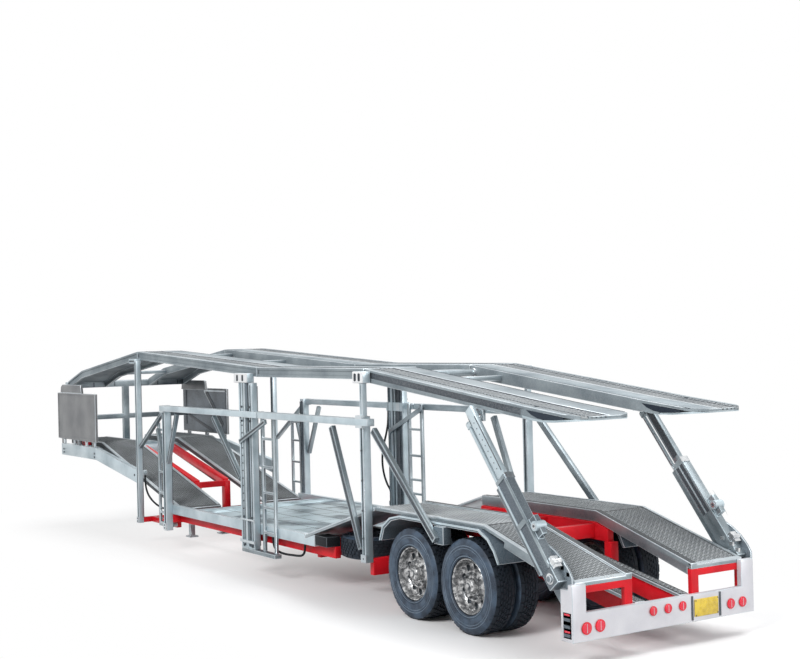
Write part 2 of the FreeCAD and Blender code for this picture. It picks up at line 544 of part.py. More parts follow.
# ------------------------------------------------------------------ side rails, braces and ladders
for word, s in SIDES:
    y0, y1 = span(s, "post_out", RAIL_OUT)
    b0, b1 = span(s, "post_out - post_deep + ladder_t", "post_out")
    low = "rail_top - rail_h"
    twin_rear = "post_c_x - post_c_len - twin_gap - twin_len"
    rail_rear = "post_d_x - post_d_len - rail_tail"
    fore_end, aft_end = "rail_split_x + rail_split / 2", "rail_split_x - rail_split / 2"
    add("side_rails",
        block(f"rail_fore_{word}", fore_end, "post_b_x", y0, y1, low, "rail_top"),
        block(f"rail_fore_core_{word}", "post_c_x", "post_b_x - post_b_len", b0, b1, low, "rail_top"),
        block(f"rail_stub_{word}", fore_end, twin_rear, b0, b1, low, "rail_top"),
        block(f"rail_aft_{word}", rail_rear, aft_end, y0, y1, low, "rail_top"),
        block(f"rail_aft_core_{word}", "post_d_x", aft_end, b0, b1, low, "rail_top"),
        block(f"rail_tail_core_{word}", rail_rear, "post_d_x - post_d_len", b0, b1, low, "rail_top"))
    # the braces lie between the posts; the long one across the middle post lies on its face, the same
    # way round on both sides of the trailer
    def brace(tag, a, b, deep, ys=None):
        return strut(f"brace_{tag}_{word}", a, b, deep, *(ys or span(s, "brace_in", "brace_in + brace_w")))
    under = "rail_top - rail_h - 1.4"
    face = ("post_out", "post_out + rail_t") if s > 0 else (f"-({POST_IN})", f"-({POST_IN}) + rail_t")
    top_c = ("ladder_x + 2.6", under) if s > 0 else ("ladder_x - 1.4", "rail_top - 2.2")
    add("side_braces",
        brace("ab", ("post_a_x - post_a_len - 1.1", 61.6), ("post_b_x + 1.7", under), 2.0),
        brace("b_fore", ("post_b_x + 1.4", 54), ("post_b_x + 9.5", 74.5), 2.0),
        brace("b_aft", ("post_b_x - post_b_len - 1.4", 54), ("post_b_x - post_b_len - 15.6", under), 2.2),
        brace("c", ("post_c_x - 2", 72.2), top_c, 2.4, face),
        brace("dc", ("post_d_x + 2.6", "post_d_foot + 6"), ("post_d_x + 27.8", f"{under} - 0.2"), 3.2),
        brace("tail", ("post_d_x - post_d_len - 7.2", f"{under} - 0.4"), ("axle_rear_x + 17.8", 38.4), 3.2))
    if s > 0:
        add("side_braces", brace("bc", ("post_c_x + 1.8", 52.2), ("post_c_x + 35.4", under), 2.6))
    add("fenders", block(f"brace_shoe_{word}", "axle_rear_x + 14", "axle_rear_x + 21", *span(s, "fender_out - 3", "brace_in"),
                         36.4, "axle_deck_z - sheet_t - fender_t"))
    l0, l1 = span(s, POST_IN, "post_out - post_deep + ladder_t")
    rungs = [block(f"rung_{word}_{k}", "ladder_x + 1", "ladder_x + ladder_w - 1", l0, l1, z, z + 1.3)
             for k, z in enumerate((24, 37.2, 45.2, 58.9, 73.8))]
    add("ladders_rear",
        block(f"lad_r_a_{word}", "ladder_x", "ladder_x + 2.2", l0, l1, "step_low", "rail_top"),
        block(f"lad_r_b_{word}", "ladder_x + ladder_w - 2.2", "ladder_x + ladder_w", l0, l1, "step_low", "rail_top"),
        block(f"lad_step_{word}", "ladder_x - 3", "post_c_x", *span(s, POST_IN, "post_out"), "step_low",
              "step_low + step_h"), *rungs)
    f_x = "post_b_x + 0.6"
    rungs = [block(f"rung_f_{word}_{k}", f"{f_x} + 1", f"{f_x} + front_ladder_w - 1", l0, l1, z, z + 1.2)
             for k, z in enumerate((22, 34, 47, 61, 73))]
    add("ladders_front",
        block(f"lad_f_a_{word}", f_x, f"{f_x} + 1.8", l0, l1, "toe_low + 1", 78),
        block(f"lad_f_b_{word}", f"{f_x} + front_ladder_w - 1.8", f"{f_x} + front_ladder_w", l0, l1, "toe_low + 1", 78),
        block(f"lad_f_foot_{word}", f_x, f"{f_x} + front_ladder_w", *span(s, "sill_y + sill_w", "post_out - post_deep + ladder_t"),
              "toe_low + 1", "toe_top"), *rungs)

# ------------------------------------------------------------------ fenders
f_top = "axle_deck_z - sheet_t"
OUTER = [  # station, drop below the fender's crown, front to rear
    ("axle_front_x + 25.3", 13.0), ("axle_front_x + 22.4", 6.0), ("axle_front_x + 16", 1.7), ("axle_front_x + 8", 0),
    ("axle_rear_x - 10", 0), ("axle_rear_x - 16.5", 3.2), ("axle_rear_x - 21", 8.0), ("axle_rear_x - 23.8", 13.2)]
INNER = [
    ("axle_rear_x - 22.4", 13.4), ("axle_rear_x - 19.6", 8.6), ("axle_rear_x - 15.6", 4.4), ("axle_rear_x - 9.6", 1.6),
    ("axle_front_x + 7.8", 1.6), ("axle_front_x + 15.3", 3.2), ("axle_front_x + 21.2", 7.2), ("axle_front_x + 23.7", 13.0)]
for word, s in SIDES:
    add("fenders", slab(f"arch_{word}", [(x, f"{f_top} - {d}") for x, d in OUTER + INNER],
                        *span(s, "fender_in", "fender_out")))

# ------------------------------------------------------------------ upper deck
NOSE = [("nose_x", "nose_z"), ("brow_x", "brow_z"), ("peak_x", "peak_z")]
HEAD = [("peak_x", "peak_z"), ("knee_x", "knee_z")]
MIDDLE = [("knee_x", "knee_z"), ("mid_end_x", "mid_end_z")]
for name, path in (("nose_deck", NOSE), ("head_deck", HEAD), ("middle_deck", MIDDLE)):
    for word, s in SIDES:
        add(name, band(f"{name}_skin_{word}", path, "skin_t", *span(s, "top_in", DECK_OUT)),
            band(f"{name}_beam_in_{word}", path, "beam_h", *span(s, "top_in", "top_in + beam_t")),
            band(f"{name}_beam_out_{word}", path, "beam_h", *span(s, f"{DECK_OUT} - beam_t", DECK_OUT)))

hinge_front = "mid_end_x - deck_split"
REAR = [(hinge_front, "hinge_z + 3.7"), ("tail_deck_x", "tail_deck_z"), ("tip_x", "tip_z")]
for word, s in SIDES:
    add("rear_deck", band(f"rear_skin_{word}", REAR, "skin_t", *span(s, "top_in", SWING_OUT)))
    for tag, a, b in (("in", "top_in", "top_in + beam_t"), ("out", f"{SWING_OUT} - beam_t", SWING_OUT)):
        add("rear_deck", slab(f"rear_beam_{tag}_{word}", [
            (hinge_front, "hinge_z + 3.7"), ("tail_deck_x", "tail_deck_z"), ("tail_deck_x - 12", "tail_deck_z - 1.3"),
            ("tail_deck_x - 12", "tail_deck_z - 3.4"), ("tail_deck_x", "tail_deck_z - beam_h"), (hinge_front, "hinge_z - 2.6")],
            *span(s, a, b)))
    # hinge pins in the rear posts' heads, and the eye that the arm's pin sits in
    add("rear_deck", rod(f"hinge_pin_{word}", "y", "hinge_pin_r", "swing_gap + 3.4", POST_D_MID,
                         span(s, f"{SWING_OUT} - 1", f"{SWING_OUT} + swing_gap + 2.4")[0], "hinge_z"))
    add("deck_hinge", rod(f"hinge_tube_{word}", "y", "hinge_tube_r", f"{SWING_OUT} - top_in - 2 * beam_t", POST_D_MID,
                          span(s, "top_in + beam_t", f"{SWING_OUT} - beam_t")[0], "hinge_z"))
    lug = block(f"lug_{word}_body", "arm_top_x - 3.6", "arm_top_x + 3.6", *span(s, f"{SWING_OUT} - 1.7", f"{SWING_OUT} - seat"),
                "arm_top_z - 3.4", f"{on_line('arm_top_x', REAR[0], REAR[1])} - beam_h - 0.8")
    eye = rod(f"lug_{word}_eye", "y", "arm_pin_r + eye_play", 4, "arm_top_x", span(s, f"{SWING_OUT} - 3", f"{SWING_OUT} + 1")[0],
              "arm_top_z")
    holed = doc.addObject("Part::Cut", f"lug_{word}")
    holed.Base, holed.Tool = lug, eye
    add("deck_hinge", holed)
add("deck_hinge", rod("hinge_tube_mid", "y", "hinge_tube_r", "2 * top_in", POST_D_MID, "-top_in", "hinge_z"),
    block("tie_rear", "post_d_x - 24", "post_d_x - 20", "-top_in", "top_in", "hinge_z - 3.6", "hinge_z - 1.2"))

ties = []
for k, (x, path) in enumerate((("brow_x - 6", NOSE[1:3]), ("peak_x - 12", HEAD), ("peak_x - 86", HEAD),
                               ("knee_x + 8", HEAD), ("knee_x - 58", MIDDLE), ("mid_end_x + 4", MIDDLE))):
    z = on_line(x, *path)
    ties.append(block(f"tie_{k}", x, f"{x} + 4", "-top_in", "top_in", f"{z} - 4.6", f"{z} - 2.2"))
node("deck_ties", *ties)


# ------------------------------------------------------------------ lift arms of the rear upper deck
def along(k):
    """Point on the line from the arm's foot pin to its top pin, as a share of that line."""
    return (f"arm_foot_x + ({k}) * (arm_top_x - arm_foot_x)", f"arm_foot_z + ({k}) * (arm_top_z - arm_foot_z)")


def beside(k, off):
    """The same point moved squarely off the line, towards the front."""
    run, rise = "(arm_top_x - arm_foot_x)", "(arm_top_z - arm_foot_z)"
    x, z = along(k)
    return (f"{x} + ({off}) * {rise} / hypot({run}; {rise})", f"{z} - ({off}) * {run} / hypot({run}; {rise})")


for word, s in SIDES:
    def across(a, b):
        """Y range of a piece of the arm, from distances outwards of the arm's inner face."""
        return span(s, f"{ARM_IN} + {a}", f"{ARM_IN} + {b}")
    ram_mid = "arm_w / 2"
    sleeve = strut(f"sleeve_{word}_body", along(0), along(0.59), "arm_deep", *across(0, "arm_w"), 3.4, 0)
    barrel = strut(f"barrel_{word}", beside(0.06, "ram_off"), beside(0.57, "ram_off"), "ram_w",
                   *across(f"{ram_mid} - ram_w / 2", f"{ram_mid} + ram_w / 2"))
    ear = strut(f"side_lug_{word}", beside(0.2, -4.4), beside(0.31, -4.4), 5.0, *across(1, "arm_w - 1"))
    ear_pin = rod(f"side_lug_pin_{word}", "y", 1.5, "arm_w", beside(0.255, -5.4)[0],
                  across(0, "arm_w")[0], beside(0.255, -5.4)[1])
    hollow = strut(f"sleeve_{word}_hollow", along(0.1), along(0.59), "arm_deep - 2 * arm_wall",
                   *across("arm_wall", "arm_w - arm_wall"), 0, 2)
    bore = strut(f"barrel_{word}_bore", beside(0.1, "ram_off"), beside(0.57, "ram_off"), 1.8,
                 *across(f"{ram_mid} - 0.9", f"{ram_mid} + 0.9"), 0, 2)
    hole = rod(f"sleeve_{word}_hole", "y", "foot_pin_r + run_gap", "arm_w + 2", "arm_foot_x", across(-1, "arm_w + 1")[0],
               "arm_foot_z")
    node(f"arm_sleeve_{word}", sleeve, barrel, ear, ear_pin, minus=(hollow, hole, bore))

    skin = "arm_wall + arm_slide"
    node(f"arm_inner_{word}",
         strut(f"inner_{word}_body", along(0.29), along(1), "arm_deep - 2 * arm_wall - 2 * arm_slide",
               *across(skin, "arm_w - arm_wall - arm_slide"), 0, 2.4),
         strut(f"inner_{word}_rod", beside(0.32, "ram_off"), beside(0.985, "ram_off"), 1.4,
               *across(f"{ram_mid} - 0.7", f"{ram_mid} + 0.7")),
         strut(f"inner_{word}_bridge", beside(0.96, "ram_off - 4"), beside(0.96, "ram_off + 1"), 2.6,
               *across(f"{ram_mid} - 1", f"{ram_mid} + 1")),
         rod(f"inner_{word}_pin", "y", "arm_pin_r", "arm_gap + arm_wall + arm_slide + 2.2", "arm_top_x",
             across("-arm_gap - 1.7", f"{skin} + 0.5")[0], "arm_top_z"))
    add("tail_sides", rod(f"foot_{word}", "y", "foot_pin_r", f"arm_w + arm_gap + 1.1", "arm_foot_x",
                          span(s, "track_out + 0.4", f"{ARM_IN} + arm_w + 0.5")[0], "arm_foot_z"))

# ------------------------------------------------------------------ gooseneck, front panels and front ramps
for word, s in SIDES:
    slope_low = "neck_foot_z - neck_h"
    add("neck_beams", slab(f"neck_side_{word}", [
        ("post_a_x", slope_low), ("post_a_x", "neck_foot_z"), ("neck_bend_x", "neck_z"), ("neck_front_x", "neck_z"),
        ("neck_front_x", "neck_z - neck_h"), ("neck_bend_x", "neck_z - neck_h")], *span(s, "neck_in", "neck_in + neck_w")))
    y0, y1 = span(s, "post_out - panel_t", "post_out")
    panel_rear = "panel_front_x - panel_len"
    add("front_panels", block(f"panel_{word}", panel_rear, "panel_front_x", y0, y1, "panel_low", "panel_top"))
    for k, x in enumerate((f"{panel_rear} + 4", f"{panel_rear} + 34", "neck_front_x - 5")):
        add("front_panels", block(f"panel_foot_{word}_{k}", x, f"{x} + 4", *span(s, "post_out - panel_t", "neck_in + neck_w"),
                                  "neck_z", "panel_low + 0.4"))
    add("front_panels", slab(f"panel_fold_{word}", [
        ("panel_front_x - 45", "panel_top - 1.4"), ("panel_front_x - 1", "panel_top - 1.4"),
        ("panel_front_x - 2", "panel_top + 4"), ("panel_front_x - 5", "panel_top + 5.8"),
        ("panel_front_x - 43", "panel_top + 5.8")], *span(s, "post_out - 2 * panel_t", "post_out - panel_t")))

    ramp = [("ramp_end_x", "ramp_end_z"), ("ramp_bend_x", "ramp_z"), ("ramp_front_x", "ramp_z")]
    add("front_ramps", band(f"front_ramp_skin_{word}", ramp, "thin_t", *span(s, "ramp_in", "ramp_out")))
    for tag, a, b in (("in", "ramp_in", "ramp_in + 1.8"), ("out", "ramp_out - 1.8", "ramp_out")):
        add("front_ramps", slab(f"front_ramp_edge_{tag}_{word}", [
            ("ramp_end_x + 5", "ramp_end_z - 1"), ("ramp_end_x + 5", "ramp_end_z + 1.2"), ("ramp_bend_x", "ramp_z"),
            ("ramp_front_x", "ramp_z"), ("ramp_front_x", "ramp_z - 3.2"), ("ramp_bend_x + 1", "ramp_z - 3.2")],
            *span(s, a, b)))

frame_top = "ramp_z - 3.2 - seat"
inner_cross = "ramp_bend_x + 1.6"
rack_x = "nose_x + seat"
outer_cross = f"{rack_x} - 0.5"
node("neck_frame",
     *[block(f"neck_cross_{k}", x, f"{x} + 4", "-neck_in", "neck_in", "neck_z - neck_h + 1.2", frame_top)
       for k, x in enumerate((inner_cross, outer_cross))],
     *[block(f"neck_long_{k}", inner_cross, f"{outer_cross} + 2", y, y + 3, "neck_z - neck_h + 1.2", frame_top)
       for k, y in enumerate((-13.5, 10.5))],
     block("king_plate", "king_x - 20", "king_x + 23", -14, 14, "neck_z - neck_h", "neck_z - neck_h + king_plate_t"))
node("coupling_pin", rod("king_shank", "z", "king_r", "king_len", "king_x", 0, "neck_z - neck_h - king_len"))

for word, s in SIDES:
    y0, y1 = span(s, "leg_y - 2.8", "leg_y + 1")
    add("ramp_trestle", strut(f"trestle_beam_{word}", ("post_a_x - 4", 35), ("ramp_bend_x + 0.3", 53.6), 4.6, y0, y1),
        block(f"trestle_post_{word}", "post_a_x - 7", "post_a_x - 1.5", y0, y1, "toe_top", 36))
    add("landing_legs", block(f"leg_{word}", "leg_x", "leg_x + 3.2", *span(s, "leg_y - 1.6", "leg_y + 1.6"), 0.8,
                              "toe_low + 0.2"),
        block(f"leg_pad_{word}", "leg_x - 2", "leg_x + 5.2", *span(s, "leg_y - 3", "leg_y + 3"), 0, 1.0))
add("ramp_trestle", block("trestle_cross", "post_a_x - 6.5", "post_a_x - 2", "-leg_y", "leg_y", 32.4, 36))

rack_in = "post_out - panel_t"
node("front_rack",
     block("rack_top", rack_x, f"{rack_x} + rack_w", "-post_out + 2 * panel_t", "post_out - 2 * panel_t",
           "nose_z - beam_h", "nose_z - 0.4"),
     block("rack_mid", rack_x, f"{rack_x} + rack_w", f"-({rack_in})", rack_in, "panel_low + 12.2", "panel_low + 15.8"),
     block("rack_post", rack_x, f"{rack_x} + rack_w", -0.8, 3.8, frame_top, "nose_z - beam_h + 1"))

# ------------------------------------------------------------------ spare wheel under the rise
spare_x = "post_d_x + spare_ahead"
spare = lathe("spare_body", [(f"{share} * tyre_w", r) for share, r in TYRE], spare_x, "spare_y", "spare_z")
spare.Placement.Rotation = FreeCAD.Rotation(Vec(0, 1, 0), -90)
node("spare_tyre", spare)
hook_z = "spare_z + tyre_w + seat"
node("spare_carrier", rod("spare_disc", "z", "rim_r - run_gap", 2, spare_x, "spare_y", "spare_z + 4"),
     rod("spare_stud", "z", 1.8, "tyre_w + seat - 4", spare_x, "spare_y", "spare_z + 4"),
     block("spare_arm", "post_d_x + 1.3", f"{spare_x} + 14", "beam_y", "beam_y + beam_w", hook_z, f"{hook_z} + 1.6"))
node("air_tank", block("tank", "deck_rear_x - 22", "deck_rear_x - 10.4", "sill_y + 0.2", f"{POST_IN} - 0.1", "frame_top",
                       "deck_z + 1.1"))

for name, pieces in GROUPS.items():
    minus = ()
    if name == "posts_d":
        minus = [rod(f"hinge_hole_{word}", "y", "hinge_pin_r + run_gap", 3.2, POST_D_MID,
                     span(s, f"{POST_IN} - 0.4", f"{POST_IN} + 2.8")[0], "hinge_z") for word, s in SIDES]
    node(name, *pieces, minus=minus)

# ------------------------------------------------------------------ air hoses
HOSES = {  # points of each hose's route: station, side position, height
    "hose_front": [(423.3, 45.2, 43.4), (423.3, 45.2, 37.4), (420.3, 45.1, 32.0), (415.0, 44.9, 28.6),
                   (408.6, 44.8, 26.4), (402.0, 44.7, 25.0), (392.2, 44.7, 24.2), (382.4, 44.7, 24.2)],
    "hose_low": [(249.6, 44.6, 22.6), (249.6, 44.6, 18.4), (246.8, 44.5, 15.8), (241.8, 44.4, 14.8),
                 (235.2, 44.4, 14.7), (228.6, 44.4, 15.1), (222.6, 44.4, 15.4), (217.6, 44.5, 16.1),
                 (214.6, 44.6, 18.7), (214.6, 44.6, 22.6)],
    "hose_right": [(279.7, -48.8, 85.6), (279.7, -48.8, 78.4), (282.0, -48.7, 70.8), (285.4, -48.5, 63.4),
                   (287.3, -48.5, 55.6), (286.4, -48.6, 47.6), (282.6, -48.6, 40.8), (278.0, -48.7, 36.9),
                   (278.0, -48.7, 31.4)]}


def hose(name, points):
    """A tube along straight runs joined by arcs as large as the runs allow."""
    here = [Vec(x - first_value("origin_x"), y, z) for x, y, z in points]
    edges, start, radii = [], here[0], []
    for before, corner, after in zip(here, here[1:], here[2:]):
        back, on = (before - corner).normalize(), (after - corner).normalize()
        cut = 0.45 * min(before.distanceToPoint(corner), after.distanceToPoint(corner))
        half = (math.pi - back.getAngle(on)) / 2
        radii.append(round(cut / math.tan(half), 1))
        enter, leave = corner + back * cut, corner + on * cut
        middle = corner + (back + on).normalize() * (radii[-1] / math.cos(half) - radii[-1])
        edges += [Part.LineSegment(start, enter).toShape(), Part.Arc(enter, middle, leave).toShape()]
        start = leave
    edges.append(Part.LineSegment(start, here[-1]).toShape())
    path = Part.Wire(edges)
    radius = first_value("hose_r")
    ring = Part.Wire(Part.makeCircle(radius, here[0], here[1] - here[0]))
    tube = doc.addObject("Part::Feature", name + "_tube")
    tube.Shape = path.makePipeShell([ring], True, False)
    print(name, "length", round(path.Length, 1), "radii", radii, "volume share",
          round(tube.Shape.Volume / (math.pi * radius ** 2 * path.Length), 4))
    node(name, tube)


for name, points in HOSES.items():
    hose(name, points)
node("hose_fittings",
     block("fitting_front", "post_a_x - post_a_len", "post_a_x - 0.6", 44.2, "post_out - slim_deep", 43.4, 46.6),
     block("fitting_right", "post_c_x", "post_c_x + 3.6", "-48.7 - clip_w / 2", "clip_w / 2 - 48.7", 28.8, 31.4))

# ------------------------------------------------------------------ check and export
doc.recompute()
for obj in doc.Objects:
    bad = [word for word in obj.State if word in ("Invalid", "Error")]
    if bad:
        raise RuntimeError(f"{obj.Name} is {bad}")
os.makedirs("parts", exist_ok=True)
for name, obj in NODES:
    shape = obj.Shape
    if shape.isNull() or not shape.isValid() or shape.Volume <= 0:
        raise RuntimeError(f"{name} has no valid shape")
    shape.exportStep(f"parts/{name}.step")
print(len(NODES), "nodes written")
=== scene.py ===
import json
import math

import bmesh
import bpy
from mathutils import Matrix, Vector


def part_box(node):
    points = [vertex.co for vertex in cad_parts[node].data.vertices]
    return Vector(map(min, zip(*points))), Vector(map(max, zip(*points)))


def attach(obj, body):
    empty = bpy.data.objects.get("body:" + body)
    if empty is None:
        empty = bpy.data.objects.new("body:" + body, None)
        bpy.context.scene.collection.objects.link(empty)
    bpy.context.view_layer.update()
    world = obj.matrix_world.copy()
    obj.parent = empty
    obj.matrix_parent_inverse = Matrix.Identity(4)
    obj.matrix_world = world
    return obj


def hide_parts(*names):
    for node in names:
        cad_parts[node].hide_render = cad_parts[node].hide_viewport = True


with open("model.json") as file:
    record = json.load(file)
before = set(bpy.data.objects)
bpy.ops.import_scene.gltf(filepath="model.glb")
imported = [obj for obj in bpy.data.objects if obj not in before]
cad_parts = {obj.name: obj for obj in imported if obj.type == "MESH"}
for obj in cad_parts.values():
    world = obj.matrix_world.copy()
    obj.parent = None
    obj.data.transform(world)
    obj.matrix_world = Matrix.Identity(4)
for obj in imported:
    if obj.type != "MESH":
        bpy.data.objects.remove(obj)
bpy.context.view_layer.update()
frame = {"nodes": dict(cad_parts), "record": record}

nodes = frame["nodes"]
body_of_node = {n: body for body, members in frame["record"]["behaviour"]["bodies"].items() for n in members}
MM = 0.001
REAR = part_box("bumper")[0].x  # the bumper's rear face: stations are counted forward from it, in millimetres
SIDES = (("left", 1), ("right", -1))
HANDS = (1, -1)  # left and right


def at(x, y, z):
    """The place at a station, a distance left of the centre line and a height, all in millimetres."""
    return Vector((REAR + x * MM, y * MM, z * MM))


# ------------------------------------------------------------------ finishes
class Wire:
    """A shader value; sums and products of wires add their Math nodes."""

    def __init__(self, finish, socket):
        self.finish, self.socket = finish, socket

    def maths(self, operation, first, second=0.0):
        return self.finish.add("ShaderNodeMath", {"operation": operation}, {0: first, 1: second})

    def __add__(self, other):
        return self.maths("ADD", self, other)

    def __rsub__(self, other):
        return self.maths("SUBTRACT", other, self)

    def __mul__(self, other):
        return self.maths("MULTIPLY", self, other)

    def __gt__(self, other):
        return self.maths("GREATER_THAN", self, other)

    __radd__, __rmul__ = __add__, __mul__


class Finish:
    """A procedural material on Object coordinates."""

    GRAIN = 2600.0  # scale of the fine grain
    PAINTED_GLINT = (0.9, 0.93, 0.96, 1.0)  # colour of the painted glints, bright specks in the grain
    RELIEF = 0.0002  # depth of the grain, metres

    def __init__(self, name, colour, roughness, metallic=0.0, coat=0.0, specular=0.5):
        self.material = bpy.data.materials.new(name)
        self.material.use_nodes = True
        self.tree = self.material.node_tree
        self.shader = self.tree.nodes["Principled BSDF"]
        self.colour = (*colour, 1.0)
        for socket, value in (("Base Color", self.colour), ("Roughness", roughness), ("Metallic", metallic),
                              ("Coat Weight", coat), ("Specular IOR Level", specular)):
            self.shader.inputs[socket].default_value = value
        self.place = self.add("ShaderNodeTexCoord", out="Object")

    def add(self, kind, settings=None, values=None, out=0):
        made = self.tree.nodes.new(kind)
        for key, value in (settings or {}).items():
            if key == "stops":
                ramp = made.color_ramp.elements
                while len(ramp) < len(value):
                    ramp.new(0.5)
                for stop, (place, shade) in zip(ramp, value):
                    stop.position, stop.color = place, shade
            else:
                setattr(made, key, value)
        for key, value in (values or {}).items():
            if isinstance(value, Wire):
                self.tree.links.new(value.socket, made.inputs[key])
            else:
                made.inputs[key].default_value = value
        return Wire(self, made.outputs[out])

    def noise(self, scale, detail):
        return self.add("ShaderNodeTexNoise", {}, {"Vector": self.place, "Scale": scale, "Detail": detail}, "Fac")

    def ramp(self, value, *stops):
        grey = [(place, (shade, shade, shade, 1)) for place, shade in stops]
        return self.add("ShaderNodeValToRGB", {"stops": grey}, {"Fac": value})

    def blend(self, amount, first, second):
        return self.add("ShaderNodeMix", {"data_type": "RGBA"}, {0: amount, 6: first, 7: second}, 2)

    def patches_and_glints(self, shade, amount, rough_low, rough_high, bump=0.04, cloud=55.0, edge=(0.38, 0.66), glint=0.10):
        """Cloudy patches of a second colour, a fine grain with painted glints in it, and a roughness that changes
        with them.
        """
        patch = self.ramp(self.noise(cloud, 5.0), (edge[0], 0.0), (edge[1], 1.0))
        fine = self.noise(self.GRAIN, 2.0)
        tone = self.blend(patch * amount, self.colour, (*shade, 1.0))
        tone = self.blend(self.ramp(fine, (0.35, glint), (0.65, 0.0)), tone, self.PAINTED_GLINT)
        self.into("Base Color", tone)
        self.into("Roughness", rough_low + (rough_high - rough_low) * (patch * 0.6 + fine * 0.4))
        if bump:
            values = {"Strength": bump, "Distance": self.RELIEF, "Height": fine}
            self.into("Normal", self.add("ShaderNodeBump", {}, values))
        return self

    def into(self, socket, wire):
        self.tree.links.new(wire.socket, self.shader.inputs[socket])


def paint(name, colour, roughness, metallic, patch_colour, amount, rough_low, rough_high, coat=0.0, specular=0.5, **patches_and_glints):
    """A finish with cloudy patches: its colour, the patches' colour and how much of it, and the roughnesses it goes
    between.
    """
    finish = Finish(name, colour, roughness, metallic, coat, specular)
    return finish.patches_and_glints(patch_colour, amount, rough_low, rough_high, **patches_and_glints)


silver = paint("silver_paint", (0.34, 0.40, 0.43), 0.34, 0.6, (0.12, 0.155, 0.18), 0.85, 0.26, 0.44)
# bright silver: a painted highlight on taken-off edges and on the lamps, also the colour of some small bars and
# plates
edge_silver = paint("painted_edge_highlight", (0.64, 0.70, 0.735), 0.3, 0.45, (0.40, 0.46, 0.50), 0.8, 0.24, 0.4)
pale_silver = paint("pale_silver_paint", (0.55, 0.65, 0.70), 0.36, 0.35, (0.30, 0.385, 0.43), 0.8, 0.28, 0.44)
# the low deck: its dark cloudy patches are painted reflections
deck_blue = paint("deck_paint", (0.46, 0.58, 0.63), 0.4, 0.3, (0.08, 0.115, 0.14), 0.9, 0.34, 0.5,
                  specular=0.3, cloud=42.0, edge=(0.47, 0.60))
bumper_paint = paint("bumper_paint", (0.70, 0.70, 0.735), 0.38, 0.25, (0.54, 0.54, 0.59), 0.7, 0.34, 0.46)
tread_paint = paint("tread_paint", (0.062, 0.070, 0.075), 0.55, 0.2, (0.04, 0.045, 0.05), 0.8, 0.5, 0.64,
                    specular=0.2)
tread_raised = paint("tread_raised_paint", (0.37, 0.393, 0.407), 0.5, 0.2, (0.24, 0.26, 0.275), 0.8, 0.46, 0.6,
                     specular=0.3)
ramp_raised = paint("ramp_raised_paint", (0.24, 0.26, 0.27), 0.5, 0.2, (0.14, 0.152, 0.16), 0.8, 0.46, 0.6,
                    specular=0.3)
panel_paint = paint("panel_paint", (0.205, 0.21, 0.215), 0.5, 0.3, (0.135, 0.14, 0.15), 0.9, 0.42, 0.58)
fender_paint = paint("fender_paint", (0.10, 0.143, 0.178), 0.5, 0.0, (0.018, 0.03, 0.045), 0.85, 0.42, 0.6,
                     specular=0.15)
side_slate = paint("side_slate_paint", (0.18, 0.225, 0.26), 0.4, 0.3, (0.08, 0.105, 0.13), 0.85, 0.34, 0.5)
# the left arm's sleeve: a darker copy of the silver, a painted shade
sleeve_shade_slate = paint("sleeve_slate_paint", (0.115, 0.145, 0.168), 0.4, 0.3, (0.06, 0.08, 0.1), 0.85, 0.34, 0.5)
deck_silver = paint("deck_silver_paint", (0.27, 0.318, 0.345), 0.5, 0.3, (0.13, 0.165, 0.19), 0.85, 0.44, 0.6,
                    specular=0.25)
# dark slate: a painted shade in the posts' channels and on the arm sleeves' panels; also the sheet on the right
# front panel and boxes on the bumper
slate = paint("slate_paint", (0.085, 0.115, 0.145), 0.36, 0.3, (0.03, 0.045, 0.062), 0.85, 0.28, 0.44)
navy = paint("navy_shadow", (0.012, 0.020, 0.034), 0.5, 0.0, (0.03, 0.043, 0.06), 0.6, 0.42, 0.58,
             specular=0.15, glint=0.02)
# dark blue-grey: a painted shade in sunk channels, strips, slots and gaps, also the colour of dark seams and bolts
groove = paint("shadow_groove", (0.030, 0.040, 0.054), 0.5, 0.2, (0.07, 0.088, 0.105), 0.6, 0.42, 0.58)
dark_metal = paint("dark_steel", (0.08, 0.095, 0.11), 0.4, 0.5, (0.03, 0.04, 0.05), 0.8, 0.32, 0.5)
red_paint = paint("red_paint", (0.84, 0.007, 0.018), 0.34, 0.0, (0.50, 0.004, 0.012), 0.7, 0.28, 0.42,
                  specular=0.25, bump=0.02, glint=0.015)
rubber = paint("tyre_tread_rubber", (0.010, 0.015, 0.023), 0.6, 0.0, (0.020, 0.030, 0.044), 0.8, 0.5, 0.7,
               specular=0.2, bump=0.1, glint=0.02)
# the tyres' sides in a lighter, bluer rubber than the tread: a painted highlight
sidewall = paint("tyre_side_rubber", (0.050, 0.083, 0.130), 0.45, 0.0, (0.010, 0.018, 0.033), 0.8, 0.36, 0.55,
                 specular=0.3, bump=0.06, glint=0.03, cloud=150.0, edge=(0.42, 0.60))
# the raised rings on the tyres' sides, lighter still: a painted highlight
ring_highlight_rubber = paint("tyre_ring_rubber", (0.15, 0.20, 0.26), 0.4, 0.0, (0.06, 0.09, 0.13), 0.8, 0.36, 0.55,
                    specular=0.4, bump=0.0, glint=0.02, cloud=120.0)
